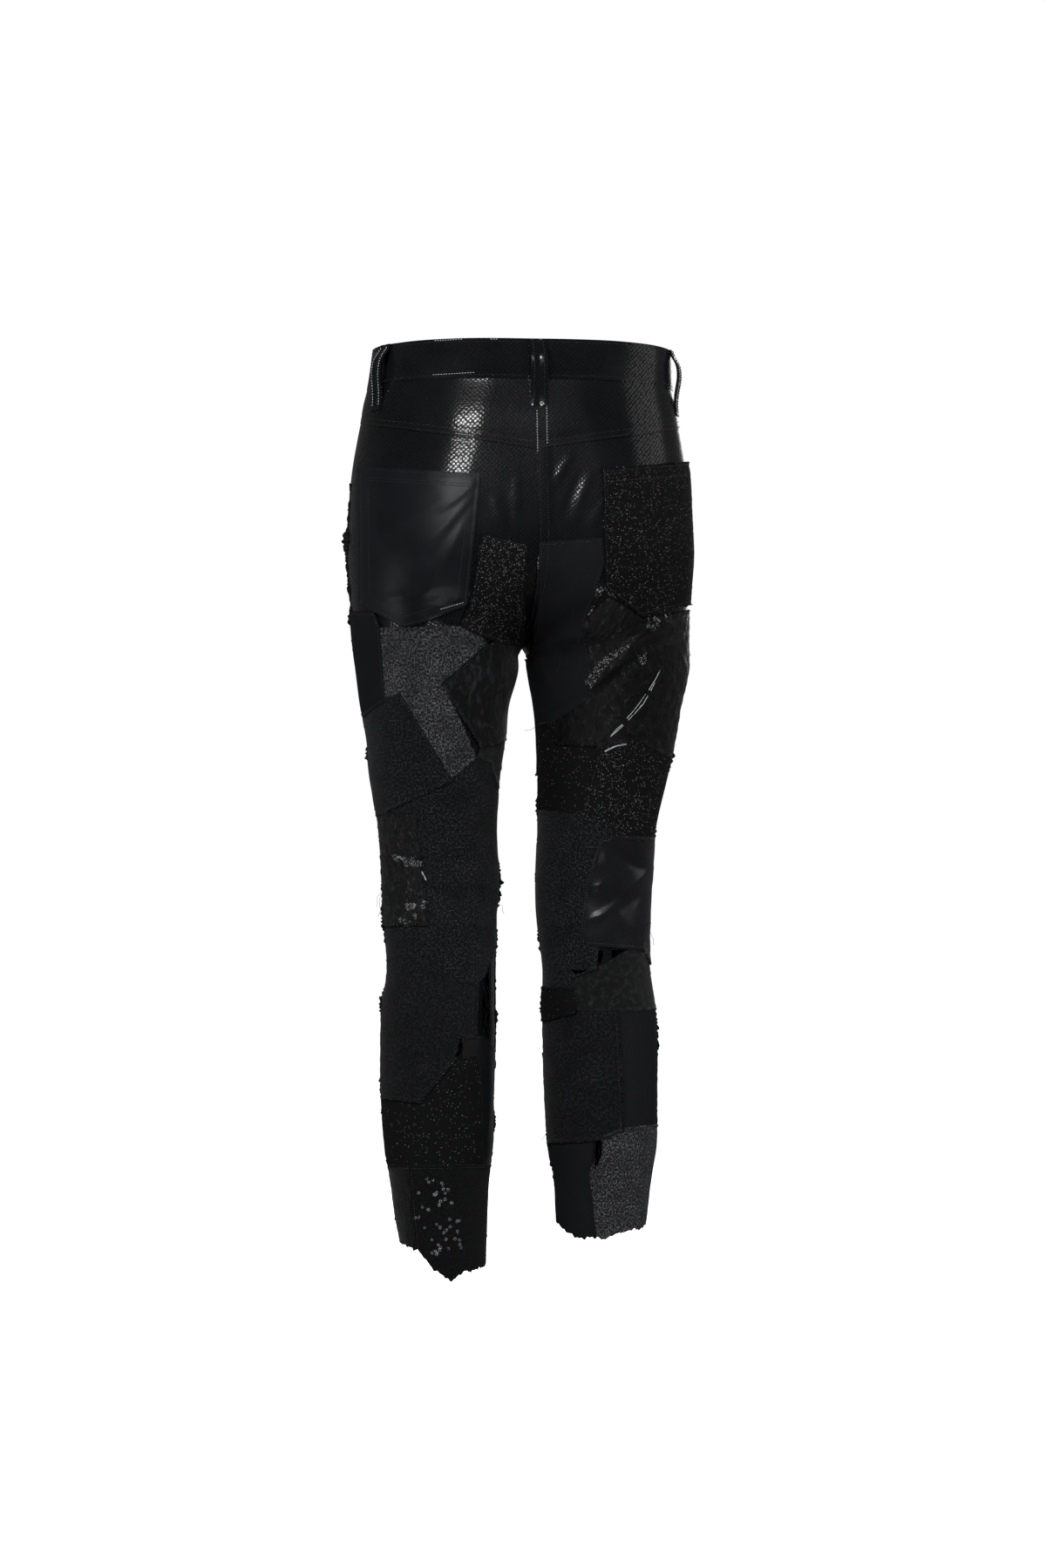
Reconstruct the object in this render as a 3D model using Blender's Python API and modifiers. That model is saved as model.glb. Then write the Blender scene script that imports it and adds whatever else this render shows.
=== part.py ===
"""Skinny patchwork trousers in the hollow shape they have when worn.

Frame: +Z up, the origin at the middle of the waist opening, level with the top edge at the sides.
The front faces -Y, the back +Y, and the wearer's left leg is on +X. Metres.
"""
import math
from bisect import bisect_right
from collections import namedtuple

import bmesh
import bpy
import numpy as np
from mathutils import Vector

# Driving sizes
WAISTBAND_DEPTH = 0.038
CROTCH_DROP = 0.287
SEAT_CURVE_START = 0.170     # drop at which the seat seam starts to turn under
YOKE_DROP_CENTRE = 0.1035
YOKE_DROP_SIDE = 0.0705
BACK_RISE = 0.0031           # the top edge is this much higher at the centre back than at the sides
FRONT_DIP = 0.019            # and this much lower at the centre front
RISE_FADES_BY = 0.250        # drop at which the tilt of the top edge has died out

# Cloth
PANEL_WALL = 0.0010
PATCH_WALL = 0.0010
WAISTBAND_WALL = 0.0020
LOOP_WALL = 0.0018
SEAM_GAP = 0.0003            # between neighbouring pieces
PATCH_LIFT = SEAM_GAP + PATCH_WALL            # outer face of a patch above the panel's outer face
PIPING_WALL = 0.0016
PIPING_LIFT = PATCH_LIFT + SEAM_GAP + PIPING_WALL

# Small pieces
LOOP_WIDTH = 0.016
LOOP_STAND = 0.0072          # clear height under a belt loop
LOOP_END = 0.064             # drop of a belt loop's lower end
# Side view of a belt loop: drop, and how far it stands up from what it is sewn to
LOOP_SIDE_VIEW = [
    (0.0005, 0.0), (0.0045, 0.0), (0.0085, 0.42), (0.0125, 0.80), (0.0165, 1.0), (0.0240, 1.07),
    (0.0310, 1.0), (0.0400, 0.66), (0.0500, 0.26), (0.0580, 0.02), (LOOP_END, 0.0),
]
LAP = 0.030                  # the waistband's left end laps this far over its right end
LAP_RISE_START = 0.16        # it starts to rise over it here, in quarters of the waist from the front
LAP_RISE_LENGTH = 0.14
BUTTON_RADIUS = 0.0085
BUTTON_HEIGHT = 0.0038
BUTTON_RIM = 0.0008

# Elevation drawings: patches are laid out on an upright plane through the origin, as seen from
# one point behind the garment, a little to the wearer's left, and from one in front of it.
VIEW_DISTANCE = 4.0
VIEW_TURN = math.radians(8.0)
VIEW_DROP = 0.421
CUTTER_REACH = 0.24          # how far a cutter runs to each side of the drawing's plane

PANEL_COLUMNS = 8
ARC_STEPS = 40               # chords that measure a section's girth
TOP_ROWS_END = 0.160         # above here a panel's rows follow its top edge
HEM_ROWS_START = 0.754       # and below here its raw hem
RING_STEP = 0.017            # length of one facet round the waistband

# One row for each level: the columns where the seat and each leg are deepest, the distance from
# there out to the side seam, the depth of the back and the front, and where the side seams lie.
Section = namedtuple("Section", "drop left_column right_column half_width back front seam_y")
SECTIONS = [
    Section(0.000, 0.0280, 0.0320, 0.1155, 0.094, 0.090, 0.000),
    Section(0.040, 0.0370, 0.0360, 0.1125, 0.098, 0.092, 0.001),
    Section(0.080, 0.0475, 0.0460, 0.1105, 0.106, 0.093, 0.002),
    Section(0.120, 0.0590, 0.0565, 0.1060, 0.114, 0.093, 0.003),
    Section(0.160, 0.0690, 0.0650, 0.0990, 0.120, 0.091, 0.004),
    Section(0.200, 0.0780, 0.0730, 0.0922, 0.122, 0.088, 0.005),
    Section(0.240, 0.0835, 0.0790, 0.0835, 0.116, 0.084, 0.005),
    Section(0.280, 0.0850, 0.0835, 0.0785, 0.103, 0.079, 0.004),
    Section(0.311, 0.0825, 0.0855, 0.0770, 0.093, 0.075, 0.003),
    Section(0.345, 0.0847, 0.0850, 0.0702, 0.085, 0.071, 0.002),
    Section(0.379, 0.0830, 0.0838, 0.0660, 0.078, 0.067, 0.001),
    Section(0.413, 0.0840, 0.0806, 0.0622, 0.072, 0.063, 0.000),
    Section(0.464, 0.0814, 0.0750, 0.0563, 0.063, 0.059, 0.000),
    Section(0.515, 0.0785, 0.0720, 0.0554, 0.057, 0.057, 0.002),
    Section(0.549, 0.0796, 0.0710, 0.0539, 0.055, 0.054, 0.005),
    Section(0.600, 0.0786, 0.0733, 0.0512, 0.053, 0.050, 0.010),
    Section(0.635, 0.0815, 0.0752, 0.0537, 0.055, 0.049, 0.013),
    Section(0.660, 0.0820, 0.0761, 0.0544, 0.054, 0.047, 0.015),
    Section(0.720, 0.0835, 0.0765, 0.0533, 0.051, 0.043, 0.019),
    Section(0.770, 0.0825, 0.0773, 0.0513, 0.047, 0.041, 0.021),
    Section(0.804, 0.0820, 0.0770, 0.0462, 0.044, 0.039, 0.022),
    Section(0.838, 0.0805, 0.0760, 0.0432, 0.0415, 0.0375, 0.022),
    Section(0.872, 0.0780, 0.0750, 0.0395, 0.040, 0.0365, 0.022),
    Section(0.912, 0.0770, 0.0745, 0.0375, 0.039, 0.036, 0.022),
]

# Levels of a panel's rows, closer where the cloth folds: under the seat and behind the knee
PANEL_LEVELS = [
    0.038, 0.070, 0.100, 0.130, 0.160, 0.190, 0.216, 0.238, 0.256, 0.272, 0.287, 0.300, 0.318,
    0.342, 0.372, 0.405, 0.438, 0.464, 0.486, 0.508, 0.530, 0.555, 0.592, 0.634, 0.676, 0.716,
    0.754, 0.792, 0.828, 0.860,
]

# The raw hem of each panel: (share of the way from the inner seam to the side seam, drop)
HEMS = {
    "back_left": [(0.0, 0.884), (0.37, 0.888), (0.50, 0.897), (0.62, 0.885), (0.75, 0.867), (1.0, 0.862)],
    "back_right": [(0.0, 0.846), (0.12, 0.850), (0.25, 0.858), (0.50, 0.858), (0.62, 0.852), (1.0, 0.848)],
    "front_left": [(0.0, 0.884), (0.25, 0.876), (0.50, 0.880), (0.75, 0.868), (1.0, 0.862)],
    "front_right": [(0.0, 0.846), (0.37, 0.853), (0.62, 0.845), (1.0, 0.848)],
}

# The largest folds: where the middle of each lies (share of the girth from the inner seam, and
# drop), its half length and half width, its slope in degrees (0 level, positive rising to the
# side seam) and its height, negative for a trough
Fold = namedtuple("Fold", "panel share drop length width slope height")
FOLDS = [
    Fold("back_left", 0.30, 0.262, 0.050, 0.016, 28, -0.0035),
    Fold("back_left", 0.38, 0.300, 0.046, 0.017, 14, -0.0026),
    Fold("back_left", 0.46, 0.498, 0.044, 0.015, -12, -0.0032),
    Fold("back_left", 0.40, 0.530, 0.040, 0.014, 10, -0.0028),
    Fold("back_left", 0.55, 0.700, 0.040, 0.018, -20, 0.0016),
    Fold("back_right", 0.26, 0.258, 0.048, 0.016, 32, -0.0035),
    Fold("back_right", 0.36, 0.294, 0.048, 0.017, 18, -0.0028),
    Fold("back_right", 0.50, 0.502, 0.044, 0.015, 14, -0.0034),
    Fold("back_right", 0.58, 0.534, 0.038, 0.014, -8, -0.0028),
    Fold("back_right", 0.45, 0.706, 0.040, 0.018, 18, 0.0016),
    Fold("front_left", 0.34, 0.268, 0.060, 0.018, 36, -0.0030),
    Fold("front_left", 0.45, 0.520, 0.044, 0.017, -10, -0.0026),
    Fold("front_right", 0.36, 0.262, 0.056, 0.018, 33, -0.0030),
    Fold("front_right", 0.55, 0.508, 0.044, 0.017, 12, -0.0026),
]

# The patchwork: (distance to the wearer's left, drop) of each corner on the elevation drawing.
# Corners beyond a panel's seam or hem run past it, so that the patch ends with the panel.
Patch = namedtuple("Patch", "name panel cloth corners")
PATCHES = [
    Patch("pocket_left", "back_left", "coated_navy", [
        (0.156, 0.114), (0.041, 0.121), (0.054, 0.246), (0.112, 0.266), (0.155, 0.243)]),
    Patch("patch_left_side_twill", "back_left", "twill", [
        (0.193, 0.255), (0.143, 0.255), (0.138, 0.268), (0.133, 0.339), (0.151, 0.354),
        (0.193, 0.355)]),
    Patch("patch_left_thigh_melange", "back_left", "melange", [
        (0.138, 0.269), (0.056, 0.267), (0.038, 0.275), (0.034, 0.288), (0.075, 0.323),
        (0.043, 0.395), (0.069, 0.416), (0.117, 0.334), (0.133, 0.339)]),
    Patch("patch_left_inner_glitter", "back_left", "glitter", [
        (0.036, 0.178), (-0.005, 0.187), (-0.002, 0.262), (0.003, 0.284), (0.018, 0.282),
        (0.038, 0.275), (0.056, 0.266), (0.048, 0.249)]),
    Patch("patch_left_inner_velvet", "back_left", "velvet", [
        (0.075, 0.323), (0.034, 0.288), (0.018, 0.282), (0.003, 0.284), (-0.006, 0.296),
        (-0.006, 0.370), (0.039, 0.383)]),
    Patch("patch_left_thigh_wool", "back_left", "wool", [
        (0.193, 0.355), (0.151, 0.354), (0.133, 0.339), (0.117, 0.334), (0.069, 0.416),
        (0.137, 0.450), (0.193, 0.456)]),
    Patch("patch_left_inner_suede", "back_left", "suede", [
        (0.043, 0.395), (0.039, 0.383), (-0.006, 0.370), (-0.006, 0.424), (0.023, 0.424),
        (0.031, 0.399)]),
    Patch("patch_left_knee_wool", "back_left", "wool", [
        (0.069, 0.416), (0.043, 0.395), (0.031, 0.399), (0.023, 0.424), (-0.006, 0.424),
        (-0.006, 0.579), (0.027, 0.586), (0.037, 0.610), (0.044, 0.618), (0.060, 0.615),
        (0.108, 0.587), (0.132, 0.595), (0.193, 0.597), (0.193, 0.557), (0.092, 0.557),
        (0.098, 0.496), (0.103, 0.451), (0.137, 0.450)]),
    Patch("patch_left_knee_crushed_upper", "back_left", "crushed_velvet", [
        (0.193, 0.456), (0.137, 0.450), (0.103, 0.451), (0.098, 0.496), (0.193, 0.489)]),
    Patch("patch_left_knee_crushed_lower", "back_left", "crushed_velvet", [
        (0.193, 0.489), (0.098, 0.496), (0.092, 0.557), (0.193, 0.557)]),
    Patch("patch_left_calf_boucle", "back_left", "boucle", [
        (0.193, 0.597), (0.132, 0.595), (0.108, 0.587), (0.060, 0.615), (0.044, 0.618),
        (0.046, 0.667), (0.057, 0.667), (0.065, 0.688), (0.076, 0.702), (0.098, 0.730),
        (0.193, 0.718)]),
    Patch("patch_left_calf_satin", "back_left", "satin", [
        (0.057, 0.667), (0.037, 0.667), (0.025, 0.679), (-0.006, 0.682), (-0.006, 0.794),
        (0.039, 0.794), (0.039, 0.711), (0.043, 0.687), (0.057, 0.688)]),
    Patch("patch_left_calf_lurex", "back_left", "lurex", [
        (0.193, 0.718), (0.098, 0.730), (0.076, 0.702), (0.065, 0.688), (0.043, 0.687),
        (0.039, 0.711), (0.039, 0.794), (0.108, 0.795), (0.193, 0.794)]),
    Patch("patch_left_hem_sequin", "back_left", "sequin", [
        (0.108, 0.795), (0.039, 0.794), (-0.006, 0.794), (-0.006, 0.930), (0.098, 0.930),
        (0.101, 0.872)]),
    Patch("patch_left_hem_fuzzy", "back_left", "fuzzy_wool", [
        (0.193, 0.794), (0.108, 0.795), (0.101, 0.872), (0.098, 0.930), (0.193, 0.930)]),

    Patch("pocket_right", "back_right", "boucle_sparkle", [
        (-0.082, 0.116), (-0.170, 0.109), (-0.173, 0.241), (-0.119, 0.255), (-0.085, 0.228)]),
    Patch("patch_right_thigh_twill", "back_right", "twill", [
        (-0.020, 0.187), (-0.078, 0.183), (-0.081, 0.205), (-0.060, 0.268), (-0.068, 0.304),
        (-0.069, 0.335), (-0.035, 0.360), (0.004, 0.368), (0.004, 0.302), (-0.012, 0.294),
        (-0.019, 0.252)]),
    Patch("patch_right_thigh_fur", "back_right", "fur", [
        (-0.060, 0.268), (-0.082, 0.235), (-0.119, 0.260), (-0.194, 0.246), (-0.194, 0.398),
        (-0.149, 0.398), (-0.112, 0.378), (-0.080, 0.384), (-0.037, 0.382), (-0.035, 0.360),
        (-0.069, 0.335), (-0.068, 0.304)]),
    Patch("patch_right_inner_glitter", "back_right", "dark_glitter", [
        (-0.037, 0.382), (-0.080, 0.384), (-0.071, 0.411), (-0.060, 0.454), (-0.026, 0.449),
        (0.004, 0.449), (0.004, 0.368), (-0.035, 0.360)]),
    Patch("patch_right_knee_glitter", "back_right", "glitter", [
        (-0.080, 0.384), (-0.112, 0.378), (-0.149, 0.398), (-0.194, 0.398), (-0.194, 0.475),
        (-0.129, 0.475), (-0.093, 0.473), (-0.093, 0.462), (-0.060, 0.454), (-0.071, 0.411)]),
    Patch("patch_right_knee_wool", "back_right", "wool", [
        (0.004, 0.449), (-0.026, 0.449), (-0.060, 0.454), (-0.093, 0.462), (-0.093, 0.473),
        (-0.079, 0.476), (-0.065, 0.521), (-0.060, 0.576), (-0.074, 0.581), (-0.073, 0.600),
        (-0.049, 0.609), (-0.051, 0.623), (-0.025, 0.621), (0.004, 0.621)]),
    Patch("patch_right_knee_coated", "back_right", "coated", [
        (-0.079, 0.476), (-0.093, 0.473), (-0.129, 0.475), (-0.194, 0.475), (-0.194, 0.556),
        (-0.124, 0.558), (-0.120, 0.581), (-0.060, 0.576), (-0.065, 0.521)]),
    Patch("patch_right_side_tweed", "back_right", "tweed", [
        (-0.124, 0.558), (-0.194, 0.556), (-0.194, 0.595), (-0.126, 0.595), (-0.120, 0.581)]),
    Patch("patch_right_calf_suede", "back_right", "suede", [
        (-0.051, 0.610), (-0.073, 0.601), (-0.087, 0.594), (-0.106, 0.582), (-0.120, 0.581),
        (-0.126, 0.595), (-0.194, 0.595), (-0.194, 0.636), (-0.094, 0.643), (-0.054, 0.643),
        (-0.051, 0.623)]),
    Patch("patch_right_calf_lurex", "back_right", "lurex", [
        (0.004, 0.621), (-0.025, 0.621), (-0.051, 0.623), (-0.054, 0.643), (-0.027, 0.650),
        (0.004, 0.650)]),
    Patch("patch_right_calf_boucle", "back_right", "boucle", [
        (0.004, 0.650), (-0.027, 0.650), (-0.054, 0.643), (-0.094, 0.643), (-0.099, 0.758),
        (-0.082, 0.765), (-0.071, 0.767), (-0.030, 0.769), (0.004, 0.769)]),
    Patch("patch_right_calf_knit", "back_right", "knit", [
        (-0.094, 0.643), (-0.194, 0.636), (-0.194, 0.754), (-0.132, 0.755), (-0.099, 0.758)]),
    Patch("patch_right_hem_twill", "back_right", "twill", [
        (0.004, 0.769), (-0.030, 0.769), (-0.071, 0.767), (-0.070, 0.801), (-0.076, 0.858),
        (-0.078, 0.930), (0.004, 0.930)]),
    Patch("patch_right_hem_melange", "back_right", "melange", [
        (-0.082, 0.765), (-0.099, 0.758), (-0.132, 0.755), (-0.194, 0.754), (-0.194, 0.930),
        (-0.078, 0.930), (-0.076, 0.858), (-0.070, 0.801)]),

    Patch("patch_front_left_thigh_twill", "front_left", "twill", [
        (0.193, 0.250), (0.120, 0.262), (0.098, 0.330), (0.128, 0.393), (0.193, 0.401)]),
    Patch("patch_front_left_thigh_velvet", "front_left", "velvet", [
        (0.120, 0.262), (0.040, 0.285), (-0.006, 0.304), (-0.006, 0.393), (0.060, 0.373),
        (0.098, 0.330)]),
    Patch("patch_front_left_thigh_melange", "front_left", "melange", [
        (0.098, 0.330), (0.060, 0.373), (-0.006, 0.393), (-0.006, 0.456), (0.080, 0.471),
        (0.193, 0.456), (0.193, 0.401), (0.128, 0.393)]),
    Patch("patch_front_left_knee_coated", "front_left", "coated", [
        (0.193, 0.456), (0.080, 0.471), (-0.006, 0.456), (-0.006, 0.561), (0.070, 0.549),
        (0.193, 0.571)]),
    Patch("patch_front_left_shin_boucle", "front_left", "boucle", [
        (0.193, 0.571), (0.070, 0.549), (-0.006, 0.561), (-0.006, 0.669), (0.092, 0.651),
        (0.193, 0.691)]),
    Patch("patch_front_left_shin_lurex", "front_left", "lurex", [
        (0.193, 0.691), (0.092, 0.651), (-0.006, 0.669), (-0.006, 0.783), (0.060, 0.771),
        (0.193, 0.793)]),
    Patch("patch_front_left_hem_wool", "front_left", "fuzzy_wool", [
        (0.193, 0.793), (0.060, 0.771), (-0.006, 0.783), (-0.006, 0.930), (0.193, 0.930)]),
    Patch("patch_front_right_thigh_melange", "front_right", "melange", [
        (-0.194, 0.246), (-0.128, 0.258), (-0.087, 0.318), (-0.118, 0.373), (-0.194, 0.367)]),
    Patch("patch_front_right_thigh_wool", "front_right", "wool", [
        (-0.128, 0.258), (-0.040, 0.288), (0.004, 0.305), (0.004, 0.405), (-0.070, 0.421),
        (-0.118, 0.373), (-0.087, 0.318)]),
    Patch("patch_front_right_thigh_glitter", "front_right", "glitter", [
        (-0.194, 0.367), (-0.118, 0.373), (-0.070, 0.421), (0.004, 0.405), (0.004, 0.471),
        (-0.090, 0.489), (-0.194, 0.471)]),
    Patch("patch_front_right_knee_twill", "front_right", "twill", [
        (-0.194, 0.471), (-0.090, 0.489), (0.004, 0.471), (0.004, 0.591), (-0.084, 0.573),
        (-0.194, 0.561)]),
    Patch("patch_front_right_shin_knit", "front_right", "knit", [
        (-0.194, 0.561), (-0.084, 0.573), (0.004, 0.591), (0.004, 0.691), (-0.070, 0.673),
        (-0.194, 0.661)]),
    Patch("patch_front_right_shin_boucle", "front_right", "boucle", [
        (-0.194, 0.661), (-0.070, 0.673), (0.004, 0.691), (0.004, 0.793), (-0.096, 0.777),
        (-0.194, 0.765)]),
    Patch("patch_front_right_hem_coated", "front_right", "coated", [
        (-0.194, 0.765), (-0.096, 0.777), (0.004, 0.793), (0.004, 0.930), (-0.194, 0.930)]),
    Patch("fly", "front_left", "coated", [
        (0.0015, 0.030), (0.036, 0.030), (0.036, 0.150), (0.030, 0.176), (0.016, 0.190),
        (0.0015, 0.194)]),
]

PIPING_CORNERS = [
    (-0.133, 0.310), (-0.138, 0.312), (-0.119, 0.347), (-0.087, 0.379), (-0.084, 0.374),
    (-0.115, 0.343),
]

# Gaps in the patchwork that go right through, each on the panel named, on the drawing
Window = namedtuple("Window", "name panel corners")
WINDOWS = [
    Window("left_inner_calf", "back_left", [
        (0.031, 0.594), (0.037, 0.611), (0.037, 0.664), (0.030, 0.670), (0.029, 0.630)]),
    Window("left_calf_slit", "back_left", [
        (0.059, 0.668), (0.056, 0.679), (0.060, 0.687), (0.064, 0.686)]),
    Window("right_knee_slit", "back_right", [
        (-0.0755, 0.583), (-0.081, 0.583), (-0.080, 0.595), (-0.0745, 0.598)]),
    Window("right_knee_wedge", "back_right", [
        (-0.088, 0.583), (-0.103, 0.5825), (-0.089, 0.592)]),
    Window("right_calf_slit", "back_right", [
        (-0.050, 0.602), (-0.068, 0.6025), (-0.054, 0.6075)]),
    Window("right_hem_slit", "back_right", [
        (-0.0735, 0.769), (-0.080, 0.768), (-0.079, 0.784), (-0.0725, 0.798)]),
]

# Belt loops: the quarter of the waist that each is on, and its share of the way to the side
LOOPS = [
    ("loop_back", "back_right", 0.017),
    ("loop_side_left", "back_left", 0.80),
    ("loop_side_right", "back_right", 0.86),
    ("loop_front_left", "front_left", 0.52),
    ("loop_front_right", "front_right", 0.52),
]

# Cloths: sRGB colour, roughness, metallic
CLOTHS = {
    "coated": ("16171a", 0.38, 0.0),
    "coated_navy": ("171a22", 0.36, 0.0),
    "seat_coated": ("141518", 0.40, 0.0),
    "twill": ("17181b", 0.80, 0.0),
    "melange": ("3a3a3e", 0.90, 0.0),
    "glitter": ("1b1b1f", 0.50, 0.0),
    "dark_glitter": ("141417", 0.55, 0.0),
    "velvet": ("0f1013", 0.85, 0.0),
    "crushed_velvet": ("1a1b1f", 0.60, 0.0),
    "wool": ("202125", 0.92, 0.0),
    "fuzzy_wool": ("242529", 0.95, 0.0),
    "suede": ("1b1b1e", 0.90, 0.0),
    "boucle": ("191a1d", 0.92, 0.0),
    "boucle_sparkle": ("1c1d21", 0.80, 0.0),
    "satin": ("131417", 0.40, 0.0),
    "lurex": ("1e1f23", 0.60, 0.0),
    "sequin": ("16171b", 0.45, 0.0),
    "fur": ("121316", 0.88, 0.0),
    "tweed": ("4a4a4c", 0.90, 0.0),
    "knit": ("1a1b1e", 0.92, 0.0),
    "button_metal": ("2b2c30", 0.35, 1.0),
}


def srgb_to_linear(hexadecimal):
    """Linear colour with alpha from an sRGB hex value."""
    parts = [int(hexadecimal[start:start + 2], 16) / 255 for start in (0, 2, 4)]
    return [((part + 0.055) / 1.055) ** 2.4 if part > 0.04045 else part / 12.92 for part in parts] + [1]


def cloth_material(name, cloth):
    """A piece's own material in the colour of its cloth."""
    colour, roughness, metallic = CLOTHS[cloth]
    material = bpy.data.materials.new(name + "_" + cloth)
    material.use_nodes = True
    shader = material.node_tree.nodes["Principled BSDF"]
    shader.inputs["Base Color"].default_value = srgb_to_linear(colour)
    shader.inputs["Roughness"].default_value = roughness
    shader.inputs["Metallic"].default_value = metallic
    return material


def section_at(drop):
    """Section at any drop, on a smooth curve through the rows of SECTIONS."""
    drops = [section.drop for section in SECTIONS]
    index = min(max(bisect_right(drops, drop) - 1, 0), len(drops) - 2)
    first, last = SECTIONS[index], SECTIONS[index + 1]
    before, after = SECTIONS[max(index - 1, 0)], SECTIONS[min(index + 2, len(drops) - 1)]
    length = last.drop - first.drop
    part = (drop - first.drop) / length
    values = [drop]
    for column in range(1, len(first)):
        start_slope = (last[column] - before[column]) / (last.drop - before.drop) * length
        end_slope = (after[column] - first[column]) / (after.drop - first.drop) * length
        values.append(
            (2 * part ** 3 - 3 * part ** 2 + 1) * first[column]
            + (part ** 3 - 2 * part ** 2 + part) * start_slope
            + (3 * part ** 2 - 2 * part ** 3) * last[column]
            + (part ** 3 - part ** 2) * end_slope)
    return Section(*values)


def side_of(panel):
    return 1 if panel.endswith("left") else -1


def section_line(panel, drop):
    """Half a section from the inner seam to the side seam: x, y and length so far."""
    section = section_at(drop)
    column = section.left_column if panel.endswith("left") else section.right_column
    depth = section.back if panel.startswith("back") else -section.front
    turned_under = max((drop - SEAT_CURVE_START) / (CROTCH_DROP - SEAT_CURVE_START), 0.05)
    inner_width = max(section.half_width, column / turned_under)
    start = math.acos(min((column - SEAM_GAP / 2) / inner_width, 1.0))
    angles = np.linspace(start, math.pi, ARC_STEPS)
    widths = np.where(angles < math.pi / 2, inner_width, section.half_width)
    across = side_of(panel) * (column - widths * np.cos(angles))
    along = section.seam_y + depth * np.sin(angles)
    steps = np.hypot(np.diff(across), np.diff(along))
    return across, along, np.concatenate([[0.0], np.cumsum(steps)])


def fold_height(panel, girth, share, drop):
    """How far the folds move the cloth out at a place on a panel."""
    total = 0.0
    for fold in FOLDS:
        if fold.panel != panel:
            continue
        slope = math.radians(fold.slope)
        sideways = (share - fold.share) * girth
        upwards = fold.drop - drop
        lengthways = sideways * math.cos(slope) + upwards * math.sin(slope)
        crossways = upwards * math.cos(slope) - sideways * math.sin(slope)
        total += fold.height * math.exp(-(lengthways / fold.length) ** 2 - (crossways / fold.width) ** 2)
    edge = math.sin(math.pi * min(max(share, 0.0), 1.0))
    return total * min(edge * 2.0, 1.0)


def bare_point(panel, share, drop):
    """Point of the panels' outer face before folds."""
    across, along, lengths = section_line(panel, drop)
    inset = SEAM_GAP / 2
    length = inset + share * (lengths[-1] - 2 * inset)
    x = float(np.interp(length, lengths, across))
    y = float(np.interp(length, lengths, along))
    section = section_at(0.0)
    fade = max(1.0 - drop / RISE_FADES_BY, 0.0) ** 2
    tilt = BACK_RISE * y / section.back if y > 0 else -FRONT_DIP * abs(y / section.front) ** 1.5
    return Vector((x, y, -drop + fade * tilt)), lengths[-1]


def outward(panel, share, drop):
    """Unit normal of the panels' outer face, before folds."""
    step = 0.004
    low, high = max(share - step, 0.0), min(share + step, 1.0)
    around = bare_point(panel, high, drop)[0] - bare_point(panel, low, drop)[0]
    down = bare_point(panel, share, drop + step)[0] - bare_point(panel, share, drop - step)[0]
    normal = around.cross(down)
    facing = side_of(panel) * (1 if panel.startswith("back") else -1)
    return normal.normalized() * facing


def cloth_point(panel, share, drop, lift=0.0):
    """Point of the panels' outer face with its folds, moved out by lift."""
    place, girth = bare_point(panel, share, drop)
    return place + outward(panel, share, drop) * (lift + fold_height(panel, girth, share, drop))


def yoke_drop(panel, share):
    """Drop of the panel's top edge: the yoke seam at the back, the waistband at the front."""
    if panel.startswith("front"):
        return WAISTBAND_DEPTH + SEAM_GAP
    return YOKE_DROP_CENTRE + (YOKE_DROP_SIDE - YOKE_DROP_CENTRE) * share


def hem_drop(panel, share):
    shares, drops = zip(*HEMS[panel])
    return float(np.interp(share, shares, drops))


def wall_mesh(name, columns, rows, place, outer, wall):
    """Closed wall on a grid of cloth: place(across, down, lift) gives its points, 0 to 1 each way."""
    sheet = bmesh.new()
    bmesh.ops.create_grid(sheet, x_segments=columns, y_segments=rows, size=0.5)
    outside = set(sheet.verts)
    bmesh.ops.extrude_face_region(sheet, geom=sheet.faces[:], use_keep_orig=True)
    for vertex in sheet.verts:
        lift = outer if vertex in outside else outer - wall
        vertex.co = place(vertex.co.x + 0.5, 0.5 - vertex.co.y, lift)
    bmesh.ops.recalc_face_normals(sheet, faces=sheet.faces)
    bmesh.ops.triangulate(sheet, faces=sheet.faces)
    if sheet.calc_volume(signed=True) < 0:
        bmesh.ops.reverse_faces(sheet, faces=sheet.faces)
    mesh = bpy.data.meshes.new(name)
    sheet.to_mesh(mesh)
    sheet.free()
    return mesh


def panel_mesh(name, panel, outer, wall):
    """A wall on a leg panel, from its top edge to its raw hem."""
    levels = [level for level in PANEL_LEVELS if level >= yoke_drop(panel, 1.0) - 0.001]
    rows = len(levels) - 1

    def place(across, down, lift):
        level = float(np.interp(down * rows, range(rows + 1), levels))
        if level < TOP_ROWS_END:
            part = (level - levels[0]) / (TOP_ROWS_END - levels[0])
            high = yoke_drop(panel, across) + SEAM_GAP / 2
            level = high + part * (TOP_ROWS_END - high)
        elif level > HEM_ROWS_START:
            part = (level - HEM_ROWS_START) / (levels[-1] - HEM_ROWS_START)
            level = HEM_ROWS_START + part * (hem_drop(panel, across) - HEM_ROWS_START)
        return cloth_point(panel, across, level, lift)

    return wall_mesh(name, PANEL_COLUMNS, rows, place, outer, wall)


def add_object(name, mesh, cloth, collection):
    piece = bpy.data.objects.new(name, mesh)
    collection.objects.link(piece)
    piece.data.materials.append(cloth_material(name, cloth))
    return piece


def cut(piece, cutter, operation):
    boolean = piece.modifiers.new(cutter.name, "BOOLEAN")
    boolean.operation = operation
    boolean.solver = "EXACT"
    boolean.object = cutter


def drawing_point(corner, eye):
    """Place on the upright drawing plane of a corner given as (to the wearer's left, drop)."""
    left, drop = corner
    to_the_left = Vector((abs(eye.y), -eye.x * math.copysign(1.0, eye.y), 0.0)).normalized()
    return to_the_left * left + Vector((0.0, 0.0, -drop))


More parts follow.
